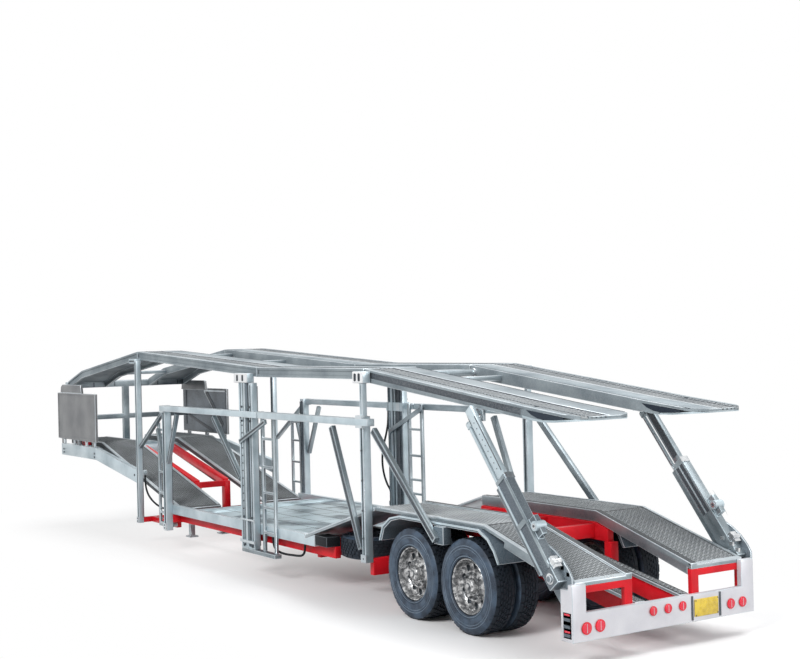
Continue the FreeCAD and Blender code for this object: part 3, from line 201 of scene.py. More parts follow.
# chrome and rims: their dark cloudy patches are painted reflections
chrome = paint("chrome_plating", (0.78, 0.80, 0.81), 0.18, 0.9, (0.32, 0.34, 0.37), 0.8, 0.14, 0.3,
               bump=0.03, cloud=240.0)
rim_chrome = paint("rim_plating", (0.62, 0.62, 0.62), 0.26, 0.7, (0.06, 0.064, 0.07), 0.9, 0.2, 0.4,
                   bump=0.03, cloud=620.0, edge=(0.40, 0.56))
white_paint = paint("white_fitting_paint", (0.84, 0.85, 0.86), 0.34, 0.0, (0.66, 0.68, 0.70), 0.6, 0.3, 0.42)
black = paint("satin_black", (0.008, 0.010, 0.013), 0.55, 0.0, (0.018, 0.021, 0.026), 0.6, 0.5, 0.65,
              specular=0.12, glint=0.02)
lens = paint("red_lens", (0.88, 0.035, 0.075), 0.2, 0.0, (0.62, 0.012, 0.03), 0.5, 0.12, 0.24,
             coat=0.3, specular=0.3, bump=0.0, glint=0.02)
yellow = paint("yellow_plate", (0.83, 0.60, 0.03), 0.42, 0.0, (0.60, 0.40, 0.02), 0.8, 0.36, 0.5, cloud=420.0)


# ------------------------------------------------------------------ making pieces
BODY, GROOVE, EDGE = 0, 1, 2  # material places of a dressed frame piece: its body, its sunk faces, painted dark as shade, and its taken-off edges, mostly painted bright as a highlight


def finished(name, bm, body, slot, *finishes, smooth=None, recalc=True):
    """Turn a bmesh into a piece that rides on a body."""
    mesh = bpy.data.meshes.new(name)
    if recalc:
        bmesh.ops.recalc_face_normals(bm, faces=bm.faces)
    bm.to_mesh(mesh)
    bm.free()
    for finish in finishes:
        mesh.materials.append(finish.material)
    piece = bpy.data.objects.new(name, mesh)
    bpy.context.scene.collection.objects.link(piece)
    if smooth is not None:
        mesh.shade_smooth()
        mesh.set_sharp_from_angle(angle=math.radians(smooth))
    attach(piece, body)
    return piece


def painted(verts, finish):
    """Give the faces on some new points one material place."""
    for face in {f for v in verts for f in v.link_faces}:
        face.material_index = finish


def prism(bm, ring, shift, finish=0):
    """A closed bar from a ring of places and a shift, both in metres."""
    verts = [bm.verts.new(place) for place in ring]
    made = bmesh.ops.extrude_face_region(bm, geom=[bm.faces.new(verts)])["geom"]
    moved = [v for v in made if isinstance(v, bmesh.types.BMVert)]
    bmesh.ops.translate(bm, verts=moved, vec=shift)
    painted(verts + moved, finish)


def brick(bm, low, high, finish=0, local=None):
    """A box between two corners in millimetres, in station coordinates or in a frame of its own."""
    if local is None:
        a, b, local = at(*low), at(*high), Matrix()
    else:
        a, b = Vector(low) * MM, Vector(high) * MM
    matrix = local @ Matrix.Translation((a + b) / 2) @ Matrix.Diagonal((*[abs(s) for s in b - a], 1))
    painted(bmesh.ops.create_cube(bm, size=1.0, matrix=matrix)["verts"], finish)


def ribbon(bm, path, y0, y1, low, high, finish=0):
    """A bar along a path of (station, height), between two side positions and two heights over the path."""
    ring = [at(x, y0, z + low) for x, z in path] + [at(x, y0, z + high) for x, z in reversed(path)]
    prism(bm, ring, (0, (y1 - y0) * MM, 0), finish)


def rungs(bm, path, y0, y1, pitch, length, low, high):
    """Cross bars along a path of (station, height)."""
    path = sorted(path)
    first, free = 0.5, 0.6  # left free before the first bar, and in all
    for (xa, za), (xb, zb) in zip(path, path[1:]):
        run, lean = math.hypot(xb - xa, zb - za), math.atan2(zb - za, xb - xa)
        local = Matrix.Translation(at(xa, 0, za)) @ Matrix.Rotation(-lean, 4, "Y")
        for k in range(int((run - free) / pitch)):
            start = first + k * pitch
            brick(bm, (start, y0, low), (start + length, y1, high), 0, local)


AXES = {"x": Matrix.Rotation(math.pi / 2, 4, "Y"), "y": Matrix.Rotation(-math.pi / 2, 4, "X")}


def stud(bm, centre, axis, radius, height, sides=6, finish=0):
    """A bolt head, pin or boss, centred on a place in metres along an axis."""
    matrix = Matrix.Translation(centre) @ AXES[axis]
    made = bmesh.ops.create_cone(bm, cap_ends=True, segments=sides, radius1=radius * MM, radius2=radius * MM,
                                 depth=height * MM, matrix=matrix)["verts"]
    painted(made, finish)


def rounded(bm, edges, width, segments=2, clamp=True):
    """Take the edges off."""
    return bmesh.ops.bevel(bm, geom=edges, offset=width * MM, segments=segments, profile=0.5, affect="EDGES",
                           material=-1, clamp_overlap=clamp)["faces"]


def lathe(bm, profile, steps):
    """Spin a profile of (distance along the axle, radius) about the Y axis at the origin."""
    ring = [bm.verts.new((0, y * MM, r * MM)) for y, r in profile]
    edges = [bm.edges.new(pair) for pair in zip(ring, ring[1:])]
    bmesh.ops.spin(bm, geom=ring + edges, cent=(0, 0, 0), axis=(0, 1, 0), angle=2 * math.pi, steps=steps,
                   use_merge=True)
    bmesh.ops.remove_doubles(bm, verts=bm.verts, dist=1e-7)


def cut_away(piece, tools):
    """Cut a bmesh of tools out of a piece's mesh."""
    mesh = bpy.data.meshes.new("tool")
    bmesh.ops.recalc_face_normals(tools, faces=tools.faces)
    tools.to_mesh(mesh)
    tools.free()
    tool = bpy.data.objects.new("tool", mesh)
    bpy.context.scene.collection.objects.link(tool)
    modifier = piece.modifiers.new("cut", "BOOLEAN")
    modifier.operation, modifier.solver, modifier.object = "DIFFERENCE", "EXACT", tool
    bpy.context.view_layer.update()
    done = bpy.data.meshes.new_from_object(piece.evaluated_get(bpy.context.evaluated_depsgraph_get()))
    piece.modifiers.remove(modifier)
    piece.data = done
    bpy.data.objects.remove(tool)


MERGE, FLAT, SHARP = 2e-6, 0.6, 35  # distance in metres and angles in degrees, for a node's soft copy


def merged(node):
    """A CAD node's own shape, with its points joined."""
    bm = bmesh.new()
    bm.from_mesh(nodes[node].data)
    bmesh.ops.remove_doubles(bm, verts=bm.verts, dist=MERGE)
    return bm


def soft_copy(node, width=0.26):
    """A CAD node's own shape, with its edges taken off and bright, a painted highlight."""
    bm = merged(node)
    bmesh.ops.dissolve_limit(bm, angle_limit=math.radians(FLAT), verts=bm.verts, edges=bm.edges)
    sharp = [e for e in bm.edges if len(e.link_faces) == 2 and e.calc_face_angle(0) > math.radians(SHARP)]
    for face in rounded(bm, sharp, width, clamp=False):
        face.material_index = EDGE
    bm.normal_update()
    return bm


def dressed(node, bm, *finishes):
    """Make the soft copy the piece that stands for its node."""
    record_slot = next(s["material_slot"] for s in frame["record"]["subparts"] if s["node"] == node)
    piece = finished(node + "_body", bm, body_of_node[node], record_slot, *finishes, smooth=28, recalc=False)
    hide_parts(node)
    return piece


DRAFT = 0.02  # how far a sunk wall leans in


def recess(bm, faces, border, depth, rib=0.0):
    """Sink a channel in flat faces, inside a border, with a rib left standing in it if one is asked for; its sunk
    walls and floor take the groove place, a painted shade.
    """
    steps = [(border, 0, BODY), (DRAFT, -depth, GROOVE)]
    if rib:
        steps += [(rib, 0, GROOVE), (DRAFT, depth * 0.8, GROOVE)]
    for face in faces:
        face.material_index = BODY
    for thickness, drop, finish in steps:
        made = bmesh.ops.inset_individual(bm, faces=faces, thickness=thickness * MM, depth=drop * MM,
                                          use_even_offset=True)["faces"]
        for face in made:
            face.material_index = finish
    for face in faces:
        face.material_index = BODY if rib else GROOVE
    bm.normal_update()


def outward_sides(bm, least, most=1e9, way=1):
    """Flat faces that look out to the side (in, for -1) and are large enough, in square millimetres."""
    return [f for f in bm.faces if abs(f.normal.y) > 0.999 and way * f.normal.y * f.calc_center_median().y > 0
            and least < f.calc_area() / MM ** 2 < most]


def sunk_strip(bm, axis, low, high, depth, finish=GROOVE):
    """Sink a strip of the upper faces between two planes across an axis; low and high are in metres."""
    for place in (low, high):
        point, normal = [0, 0, 0], [0, 0, 0]
        point[axis], normal[axis] = place, 1
        bmesh.ops.bisect_plane(bm, geom=bm.verts[:] + bm.edges[:] + bm.faces[:], dist=1e-8, plane_co=point,
                               plane_no=normal)
    bm.normal_update()
    region = []
    for face in bm.faces:
        middle = face.calc_center_median()
        if face.normal.z > 0.93 and low < middle[axis] < high:
            region.append(face)
            face.material_index = finish
    if depth and region:
        made = bmesh.ops.inset_region(bm, faces=region, thickness=DRAFT * MM, depth=-depth * MM,
                                      use_boundary=True, use_even_offset=True)["faces"]
        for face in made:
            face.material_index = finish
    bm.normal_update()


# ------------------------------------------------------------------ the frame's own shapes
# the arms are lit and shaded copies: the left sleeve is a darker slate than the right one's silver, a painted
# shade, and the left inner tube a paler silver than the right one's, a painted highlight
PLAIN = [
    (silver, "ladders_rear ladders_front deck_hinge deck_ties front_rack hose_fittings "
             "arm_sleeve_right arm_inner_right landing_legs"),
    (side_slate, "tail_sides"),
    (sleeve_shade_slate, "arm_sleeve_left"),
    (bumper_paint, "bumper"),
    (fender_paint, "fenders"),
    (pale_silver, "deck_beams neck_beams neck_frame side_rails arm_inner_left"),
    (tread_paint, "front_ramps"),
    (red_paint, "tail_frame main_frame frame_cross suspension ramp_trestle"),
    (chrome, "coupling_pin"),
    (black, "axles spare_carrier air_tank"),
    (yellow, "number_plate")]
EDGES = {red_paint: red_paint, black: dark_metal, yellow: yellow, chrome: chrome}  # black parts get lighter edges and the others bright ones, a painted highlight
for finish, names in PLAIN:
    for node in names.split():
        edge = pale_silver if node.startswith("arm") else EDGES.get(finish, edge_silver)
        dressed(node, soft_copy(node), finish, groove, edge)

# the tracks' upper faces are dark under their treads and their webs are silver
UPPER = 3  # their upper faces' material place
for node in ("tail_tracks", "rise_tracks", "inner_rails"):
    bm = soft_copy(node)
    for face in bm.faces:
        if face.material_index == BODY and face.normal.z > 0.7:
            face.material_index = UPPER
    dressed(node, bm, silver, groove, edge_silver, tread_paint)

# posts, braces and panels are channels: node, finish, border, depth, least area, least area for one with a rib
CHANNELS = [("posts_a", pale_silver, 0.75, 0.5, 200, None), ("posts_b", pale_silver, 1.0, 0.6, 200, None),
            ("posts_c", pale_silver, 0.95, 0.6, 200, 500), ("posts_d", pale_silver, 0.75, 0.5, 25, None),
            ("side_braces", silver, 0.6, 0.3, 30, None),
            ("front_panels", panel_paint, 1.3, 0.25, 700, None)]
NARROW, WIDE = 60, 200  # least areas of a post's narrow and wide inner faces; the wide ones get a rib
for node, finish, border, depth, least, ribbed in CHANNELS:
    bm = soft_copy(node, 0.1 if node == "side_braces" else 0.26)
    if ribbed:
        recess(bm, outward_sides(bm, least, ribbed), border, depth)
        recess(bm, outward_sides(bm, ribbed), 1.35, depth, rib=0.75)
    else:
        recess(bm, outward_sides(bm, least), border, depth)
    if node.startswith("posts"):
        recess(bm, outward_sides(bm, WIDE, way=-1), 1.2, depth, rib=0.7)
        recess(bm, outward_sides(bm, NARROW, WIDE, way=-1), 0.8, depth)
    if node == "front_panels":
        for face in bm.faces:
            if face.material_index == GROOVE:
                face.material_index = BODY
    # sunk faces keep the groove place, a painted shade: slate on the posts, the groove finish on the braces; the
    # panels' sunk faces take the body finish
    dressed(node, bm, finish, slate if node.startswith("posts") else groove,
            pale_silver if node == "side_braces" else edge_silver)

# ------------------------------------------------------------------ air hoses
HOSES = {
    "hose_front": (0.0513, [(423.3, 45.2, 43.4), (423.3, 45.2, 37.4), (420.3, 45.1, 32.0), (415.0, 44.9, 28.6),
                            (408.6, 44.8, 26.4), (402.0, 44.7, 25.0), (392.2, 44.7, 24.2), (382.4, 44.7, 24.2)]),
    "hose_low": (0.0446, [(249.6, 44.6, 22.6), (249.6, 44.6, 18.4), (246.8, 44.5, 15.8), (241.8, 44.4, 14.8),
                          (235.2, 44.4, 14.7), (228.6, 44.4, 15.1), (222.6, 44.4, 15.4), (217.6, 44.5, 16.1),
                          (214.6, 44.6, 18.7), (214.6, 44.6, 22.6)]),
    "hose_right": (0.0581, [(279.7, -48.8, 85.6), (279.7, -48.8, 78.4), (282.0, -48.7, 70.8), (285.4, -48.5, 63.4),
                            (287.3, -48.5, 55.6), (286.4, -48.6, 47.6), (282.6, -48.6, 40.8), (278.0, -48.7, 36.9),
                            (278.0, -48.7, 31.4)])}
HOSE_R = 0.6
for node, (length, route) in HOSES.items():
    line = bpy.data.curves.new(node, "CURVE")
    line.dimensions, line.bevel_depth, line.bevel_resolution = "3D", HOSE_R * MM, 4
    line.use_fill_caps, line.resolution_u = True, 12
    spline = line.splines.new("NURBS")
    spline.points.add(len(route) - 1)
    for point, place in zip(spline.points, route):
        point.co = (*at(*place), 1.0)
    spline.order_u, spline.use_endpoint_u = 3, True
    line.materials.append(black.material)
    hose = bpy.data.objects.new(node + "_line", line)
    bpy.context.scene.collection.objects.link(hose)
    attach(hose, "trailer")
    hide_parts(node)
    tuple(at(*route[0]))

# ------------------------------------------------------------------ upper decks
DECKS = {  # path of the upper face and outer edge of each deck
    "nose_deck": ([(563.0, 101.6), (534.0, 109.6), (430.0, 122.3)], 45.9),
    "head_deck": ([(430.0, 122.3), (262.0, 112.5)], 45.9),
    "middle_deck": ([(262.0, 112.5), (151.4, 112.2)], 45.9),
    "rear_deck": ([(150.5, 112.0), (30.0, 97.6), (-2.0, 94.2)], 45.6)}
DOTTED, RIBBED, LIP, INNER = (39.8, 42.6), (29.6, 39.2), (28.2, 29.6), (16.0, 17.2)  # side positions on a track
SINK = 0.75
# the sunk strips' floors take the groove finish, a painted shade, and the lip is painted flat in the bright edge
# colour, a painted highlight
STRIPS = ((DOTTED, SINK, GROOVE), (RIBBED, SINK, GROOVE), (LIP, 0, EDGE), (INNER, 0.3, GROOVE))
RIBS_AT, RIB_WIDE = (31.2, 33.6, 36.0, 38.0), 0.65  # the bars along the ribbed strip
RAIL = [(146.0, 111.46), (31.0, 97.72)]  # the channel along the rear deck's sides: station and height
for node, (path, out) in DECKS.items():
    bm = soft_copy(node)
    if node != "rear_deck":
        webs = outward_sides(bm, 60)
        recess(bm, webs, 1.15, 0.5)
        for face in webs:
            face.material_index = BODY
    for side in HANDS:
        for strip, depth, finish in STRIPS:
            low, high = sorted(side * y * MM for y in strip)
            sunk_strip(bm, 1, low, high, depth, finish)
    deck = dressed(node, bm, deck_silver, groove, edge_silver)
    if node == "rear_deck":
        tools = bmesh.new()
        for side in HANDS:
            ribbon(tools, RAIL, side * (out - 0.4), side * (out + 1.0), -3.9, -1.2, GROOVE)
        cut_away(deck, tools)
    bm = bmesh.new()
    under = -SINK - 0.1  # the bars start below the strip's floor
    for side in HANDS:
        rungs(bm, path, side * (DOTTED[0] + 0.3), side * (DOTTED[1] - 0.3), 2.3, 1.1, under, -0.12)
        for y in RIBS_AT:
            ribbon(bm, path, side * y, side * (y + RIB_WIDE), under, -0.2)
        rungs(bm, path, side * RIBBED[0], side * RIBBED[1], 4.6, 0.5, under, -0.35)
    finished(node + "_bars", bm, body_of_node[node], "tread", tread_raised)

# the rear deck's rounded corners, its flip tips and the caps of its hinge
TAIL_PATH, TAIL_OUT = DECKS["rear_deck"]
TIP_END, CORNER, CORNER_STEPS = -2.0, 8.0, 8  # the deck's last station, its corners' radius and steps
SPARE, CUT_FROM, CUT_HIGH = 0.6, 88.0, 9.0  # the cutters' overlap, where they start and their height


def rear_top(x):
    """Height of the rear deck's upper face at a station."""
    (xa, za), (xb, zb) = TAIL_PATH[:2] if x > TAIL_PATH[1][0] else TAIL_PATH[1:]
    return za + (zb - za) * (x - xa) / (xb - xa)


def beneath(*points):
    """A path under the rear deck's upper face, from (station, drop)."""
    return [(x, rear_top(x) - drop) for x, drop in points]


def corner_cutters():
    """Prisms that round the four corners at the rear end of the rear deck."""
    bm = bmesh.new()
    centre = TIP_END + CORNER
    for side in HANDS:
        for edge, inward in ((TAIL_OUT, -1), (INNER[0], 1)):
            ring = [(TIP_END - SPARE, edge - inward * SPARE), (centre, edge - inward * SPARE)]
            for k in range(CORNER_STEPS + 1):
                turn = math.radians(90 - k * 90 / CORNER_STEPS)
                ring.append((centre - CORNER * math.cos(turn), edge + inward * (CORNER - CORNER * math.sin(turn))))
            ring.append((TIP_END - SPARE, edge + inward * CORNER))
            prism(bm, [at(x, side * y, CUT_FROM) for x, y in ring], (0, 0, CUT_HIGH * MM))
    return bm


LOWER_PLATE = beneath((31.5, 4.6), (25.0, 4.9), (19.0, 4.8), (12.0, 3.9), (5.0, 2.7), (-1.6, 1.6))
ROOT = beneath((32.5, 2.9), (19.0, 2.9))  # the webs that join a tip's two plates
# outline of that thin dark bar, a painted shadow in the gap between a tip's two plates
GAP = beneath((29.0, 1.35), (16.0, 1.3), (6.2, 1.4), (6.2, 2.1), (12.0, 3.1), (17.0, 3.8), (22.0, 3.7), (26.0, 2.8))
bm = bmesh.new()
for side in HANDS:
    ribbon(bm, LOWER_PLATE, side * 16.4, side * 45.75, -0.1, 0.75)
tips = finished("flip_tip_plates", bm, "rear_deck", "silver", pale_silver)
for piece in (deck, tips, bpy.data.objects["rear_deck_bars"]):
    cut_away(piece, corner_cutters())

bm = bmesh.new()  # webs on both edges of each track, and a thin dark bar on them, a painted shadow in the gap between the plates
for side in HANDS:
    for low, high in ((45.0, 45.66), (15.94, 16.6)):
        ribbon(bm, ROOT, side * low, side * high, -1.7, 1.5)
    for low in (45.12, 15.86):
        prism(bm, [at(x, side * low, z) for x, z in GAP], (0, side * 0.62 * MM, 0), 1)
finished("flip_tip_webs", bm, "rear_deck", "silver", deck_silver, navy)

HINGE_X, HINGE_Z = 147.4, 108.3
bm = bmesh.new()
for y in (-15.2, 15.2):
    for radius, height, sides in ((2.3, 1.5, 24), (1.1, 2.1, 16)):
        stud(bm, at(HINGE_X, y, HINGE_Z), "y", radius, height, sides)
finished("hinge_caps", bm, "rear_deck", "silver", chrome, smooth=40)

# ------------------------------------------------------------------ low deck
SEAMS_ALONG, SEAMS_ACROSS = (-29.0, -14.5, 0.0, 14.5, 29.0), (233.0, 256.0, 281.0, 304.0, 328.0)
bm = soft_copy("low_deck")
for y in SEAMS_ALONG:
    sunk_strip(bm, 1, (y - 0.28) * MM, (y + 0.28) * MM, 0.5)
for x in SEAMS_ACROSS:
    low = at(x - 0.25, 0, 0).x
    sunk_strip(bm, 0, low, low + 0.5 * MM, 0.4)
dressed("low_deck", bm, deck_blue, groove, edge_silver)

# ------------------------------------------------------------------ wheels
TYRE_R, TYRE_W, TREAD_DEPTH = 20.4, 10.9, 0.5
SHOULDER, SHOULDER_FROM = 0.55, 0.39  # shoulder blocks: share of the depth, and of the width off the middle
# ribs as shares of the width, and one side as (share of the width, radius)
RIBS = [(0.085, 0.235), (0.265, 0.375), (0.405, 0.485), (0.515, 0.595), (0.625, 0.735), (0.765, 0.915)]
SIDEWALL = [(0.10, 12.0), (0.05, 12.2), (0.012, 12.7), (0.012, 13.0), (0.04, 13.15), (0.04, 13.35), (0.012, 13.5),
            (0.004, 14.2), (0.0, 15.0), (0.0, 15.9), (0.018, 16.0), (0.018, 16.25), (0.0, 16.35), (0.0, 17.0),
            (0.016, 17.1), (0.016, 17.35), (0.006, 17.45), (0.012, 18.3), (0.03, 19.0), (0.055, 19.45)]
BLOCKS = (5, 3, 3, 3, 3, 5)  # steps from groove to groove in each rib
LEDGES, BEAD = ((12.6, 13.2), (15.85, 16.4), (16.95, 17.5)), 12.3  # radii of the raised rings, painted lighter as a painted highlight, and of the bead
STEPS = 150


def tyre(bm):
    """A tyre about the origin, axle along Y, with ribs cut into fine blocks; the sides are the second finish and
    their raised rings the third, a painted highlight.
    """
    floor = TYRE_R - TREAD_DEPTH
    profile = [(share * TYRE_W - TYRE_W / 2, r) for share, r in SIDEWALL]
    for a, b in RIBS:
        profile += [((a - 0.5) * TYRE_W, floor), ((b - 0.5) * TYRE_W, floor)]
    profile += [(TYRE_W / 2 - share * TYRE_W, r) for share, r in reversed(SIDEWALL)]
    profile.append(profile[0])
    lathe(bm, profile, STEPS)
    raised = []
    for face in bm.faces:
        middle = face.calc_center_median()
        radius = math.hypot(middle.x, middle.z) / MM
        share = middle.y / MM / TYRE_W + 0.5
        if radius < floor - 0.2:
            ledge = any(low < radius < high for low, high in LEDGES)
            face.material_index = 0 if radius < BEAD else 2 if ledge else 1
            continue
        step = round((math.atan2(middle.x, middle.z) % (2 * math.pi)) / (2 * math.pi) * STEPS - 0.5)
        for k, (a, b) in enumerate(RIBS):
            if a < share < b and (step + 2 * k) % BLOCKS[k] != 0:
                raised.append(face)
    made = bmesh.ops.extrude_face_region(bm, geom=raised)["geom"]
    for vert in (v for v in made if isinstance(v, bmesh.types.BMVert)):
        reach = Vector((vert.co.x, 0, vert.co.z)).normalized() * TREAD_DEPTH * MM
        edge = abs(vert.co.y) / MM > SHOULDER_FROM * TYRE_W
        vert.co += reach * (SHOULDER if edge else 1.0)
    bmesh.ops.delete(bm, geom=[f for f in raised if f.is_valid], context="FACES_ONLY")


def ring_of(count, radius, turn=0.0):
    """Places round an axle along Y at the origin."""
    for k in range(count):
        a = 2 * math.pi * k / count + turn
        yield Vector((math.sin(a) * radius * MM, 0, math.cos(a) * radius * MM))


def copied(bm, source, matrix):
    """Add a copy of a mesh to a bmesh."""
    known = len(bm.verts)
    bm.from_mesh(source)
    bmesh.ops.transform(bm, matrix=matrix, verts=bm.verts[known:])


bm = bmesh.new()
tyre(bm)
bmesh.ops.recalc_face_normals(bm, faces=bm.faces)
one_tyre = bpy.data.meshes.new("pattern")
bm.to_mesh(one_tyre)
bm.free()
TYRE_FACE, DUAL = 46.1, 12.7  # side position of the outer tyre's face, and how far apart the twins are
# half the section of both rims of a twin wheel: distance inwards from the outer tyre's face, and radius
RIM = [(0.75, 0.0), (0.75, 2.3), (1.0, 3.0), (1.3, 3.25), (2.9, 3.5), (3.0, 4.2), (3.3, 4.3), (3.45, 6.4),
       (4.2, 6.9), (4.9, 7.6), (5.0, 9.4), (4.4, 10.1), (2.4, 10.75), (1.5, 11.0), (1.0, 11.3), (0.85, 11.65),
       (1.1, 11.95), (22.6, 11.95), (22.6, 10.9), (6.4, 10.4), (6.3, 0.0)]
RIM_STEPS = 80
# rings of nuts and marks on a rim: count, ring radius, turn, and studs of depth, radius, height, sides, finish
RIM_STUDS = [(10, 5.4, 0.31, ((2.95, 0.62, 1.0, 6, 0), (2.3, 0.3, 0.5, 8, 1))),
             (20, 5.4, 0.155, ((3.42, 0.34, 0.1, 8, 1),)),
             (8, 2.7, 0.2, ((0.75, 0.28, 0.3, 6, 0),)),
             (1, 0.0, 0.0, ((0.72, 1.6, 0.12, 20, 1), (0.55, 1.2, 0.5, 20, 0)))]
HAND_HOLES = (10, 8.5, 4.9, 1.45, 2.2)  # count, ring radius, depth, a hole's radius and its cutter's height
RIM_SMOOTH = 35  # degrees


def rim_piece(name, body, node, side, x):
    """Both rims of a twin wheel, with hand holes and nuts."""
    bm = bmesh.new()
    lathe(bm, RIM, RIM_STEPS)
    piece = finished(name, bm, body, "bright", rim_chrome, dark_metal, smooth=RIM_SMOOTH)
    count, radius, depth, hole, cutter = HAND_HOLES
    tools = bmesh.new()
    for place in ring_of(count, radius):
        # the hand holes' cut walls take the dark steel, a painted shade
        stud(tools, place + Vector((0, depth * MM, 0)), "y", hole, cutter, 16, finish=1)
    cut_away(piece, tools)
    bm = bmesh.new()
    bm.from_mesh(piece.data)
    for count, radius, turn, studs in RIM_STUDS:
        for place in ring_of(count, radius, turn):
            for depth, stud_radius, height, sides, finish in studs:
                stud(bm, place + Vector((0, depth * MM, 0)), "y", stud_radius, height, sides, finish)
    face = Matrix.Translation(at(x, side * TYRE_FACE, TYRE_R)) @ Matrix.Diagonal((1, -side, 1, 1))
    bmesh.ops.transform(bm, matrix=face, verts=bm.verts)
    bmesh.ops.recalc_face_normals(bm, faces=bm.faces)
    bm.to_mesh(piece.data)
    bm.free()
    piece.data.shade_smooth()
    piece.data.set_sharp_from_angle(angle=math.radians(RIM_SMOOTH))
    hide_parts(node)


for axle, station in (("front", 114.2), ("rear", 71.8)):
    for word, side in SIDES:
        body = f"wheels_{axle}_{word}"
        bm = bmesh.new()
        for k in range(2):
            y = side * (TYRE_FACE - TYRE_W / 2 - k * DUAL)
            copied(bm, one_tyre, Matrix.Translation(at(station, y, TYRE_R)))
        piece = finished(f"tyre_pair_{axle}_{word}", bm, body, "tyre", rubber, sidewall, ring_highlight_rubber, smooth=32)
        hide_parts(f"tyres_{axle}_{word}")
        rim_piece(f"rims_{axle}_{word}", body, f"rim_{axle}_{word}", side, station)

low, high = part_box("spare_tyre")
bm = bmesh.new()
copied(bm, one_tyre, Matrix.Translation((low + high) / 2) @ Matrix.Rotation(math.pi / 2, 4, "X"))
piece = finished("spare_tyre_tread", bm, "trailer", "tyre", rubber, sidewall, ring_highlight_rubber, smooth=32)
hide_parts("spare_tyre")

# ------------------------------------------------------------------ fender edge highlights
ARCH = [(139.5, 32.8), (136.6, 39.8), (130.2, 44.1), (122.2, 45.8), (61.8, 45.8), (55.3, 42.6), (50.8, 37.8),
        (48.0, 32.6)]
INSIDE = [(138.6, 32.8), (135.9, 39.4), (129.8, 43.4), (122.0, 45.0), (62.0, 45.0), (55.8, 42.0), (51.5, 37.4),
          (48.8, 32.6)]
ARCH_AT, ARCH_WIDE = 46.4, 0.5  # side position and width of the pale bar along a fender's edge, a painted highlight
bm = bmesh.new()
for side in HANDS:
    for k in range(len(ARCH) - 1):
        corners = (ARCH[k], ARCH[k + 1], INSIDE[k + 1], INSIDE[k])
        prism(bm, [at(x, side * ARCH_AT, z) for x, z in corners], (0, side * ARCH_WIDE * MM, 0))
bmesh.ops.remove_doubles(bm, verts=bm.verts, dist=1e-6)
finished("fender_edge_highlights", bm, "trailer", "silver", pale_silver)

# ------------------------------------------------------------------ lamps and the rear bar
def loose_parts(node):
    """Boxes of a CAD node's separate solids."""
    bm = merged(node)
    found, seen = [], set()
    for start in bm.verts:
        if start in seen:
            continue
        group, todo = [], [start]
        seen.add(start)
        while todo:
            vert = todo.pop()
            group.append(vert.co.copy())
            for edge in vert.link_edges:
                other = edge.other_vert(vert)
                if other not in seen:
                    seen.add(other)
                    todo.append(other)
        found.append([Vector([pick(c[k] for c in group) for k in range(3)]) for pick in (min, max)])
    bm.free()
    return found


bm = bmesh.new()
for low, high in loose_parts("tail_lamps"):
    middle, size = (low + high) / 2, high - low
    r = max(size) / 2
    matrix = Matrix.Translation(middle) @ Matrix.Diagonal((size.x / 2, r * 0.95, r * 0.95, 1))
    bmesh.ops.create_uvsphere(bm, u_segments=24, v_segments=12, radius=1.0, matrix=matrix)
    stud(bm, middle, "x", r / MM, size.x / MM * 0.4, 28, finish=2)
    y, z, r = middle.y / MM, middle.z / MM, r / MM
    # a thin bright bar down each lens, a painted highlight, and a red bar across it
    brick(bm, (-0.72, y - 0.09, z - r * 0.7), (-0.2, y + 0.09, z + r * 0.7), 1)
    brick(bm, (-0.66, y - r * 0.75, z - 0.10), (-0.2, y + r * 0.75, z + 0.10), 2)
piece = finished("lamp_lenses", bm, "trailer", "lamp", lens, edge_silver, red_paint, smooth=50)
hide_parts("tail_lamps")

BAR_TRIM = [  # low corner, high corner, finish
    ((-0.3, -13.75, 9.9), (0.3, -12.85, 19.6), 0),  # on each side of the number plate
    ((-0.3, -29.35, 9.9), (0.3, -28.45, 19.6), 0),
    ((0.9, 48.2, 10.6), (5.5, 48.75, 20.3), 0),  # the dark block on the left return, its boxes and lenses
    ((1.3, 48.4, 11.2), (5.1, 49.1, 12.4), 2), ((1.3, 48.4, 14.5), (5.1, 49.1, 15.7), 2),
    ((1.3, 48.4, 17.2), (5.1, 49.1, 18.4), 2),
    ((1.6, 48.55, 12.8), (4.8, 48.9, 13.5), 1), ((1.6, 48.55, 19.3), (4.8, 48.9, 20.0), 1),
    ((0.4, 45.6, 20.3), (2.2, 48.5, 20.6), 0), ((0.5, -48.5, 20.3), (2.2, -45.6, 20.6), 0)]  # seams of the uprights
bm = bmesh.new()
for low, high, finish in BAR_TRIM:
    brick(bm, low, high, finish)
for y in (-27.2, -15.0):
    for z in (11.6, 17.6):
        stud(bm, at(-0.55, y, z), "x", 0.28, 0.2, 8)
finished("bumper_trim", bm, "trailer", "dark", groove, lens, slate)

# ------------------------------------------------------------------ tread plates
HALF_LONG, HALF_WIDE, PROUD, RIDGE = 0.78, 0.25, 0.28, 0.45  # a raised bar; its ridge's share of its length
ROW, PITCH, SLANT = 1.15, 1.3, 42  # spacing along and across, and degrees off square


def lozenge(bm, matrix):
    """One raised bar of a tread plate."""
    base = [bm.verts.new(matrix @ (Vector(p) * MM)) for p in
            ((-HALF_LONG, 0, 0), (0, -HALF_WIDE, 0), (HALF_LONG, 0, 0), (0, HALF_WIDE, 0))]
    ridge = [bm.verts.new(matrix @ (Vector((s * HALF_LONG * RIDGE, 0, PROUD)) * MM)) for s in (-1, 1)]
    a, b, c, d = base
    for corners in ((a, b, ridge[0]), (b, ridge[1], ridge[0]), (b, c, ridge[1]), (c, d, ridge[1]),
                    (d, ridge[0], ridge[1]), (d, a, ridge[0]), (a, d, c, b)):
        bm.faces.new(corners)


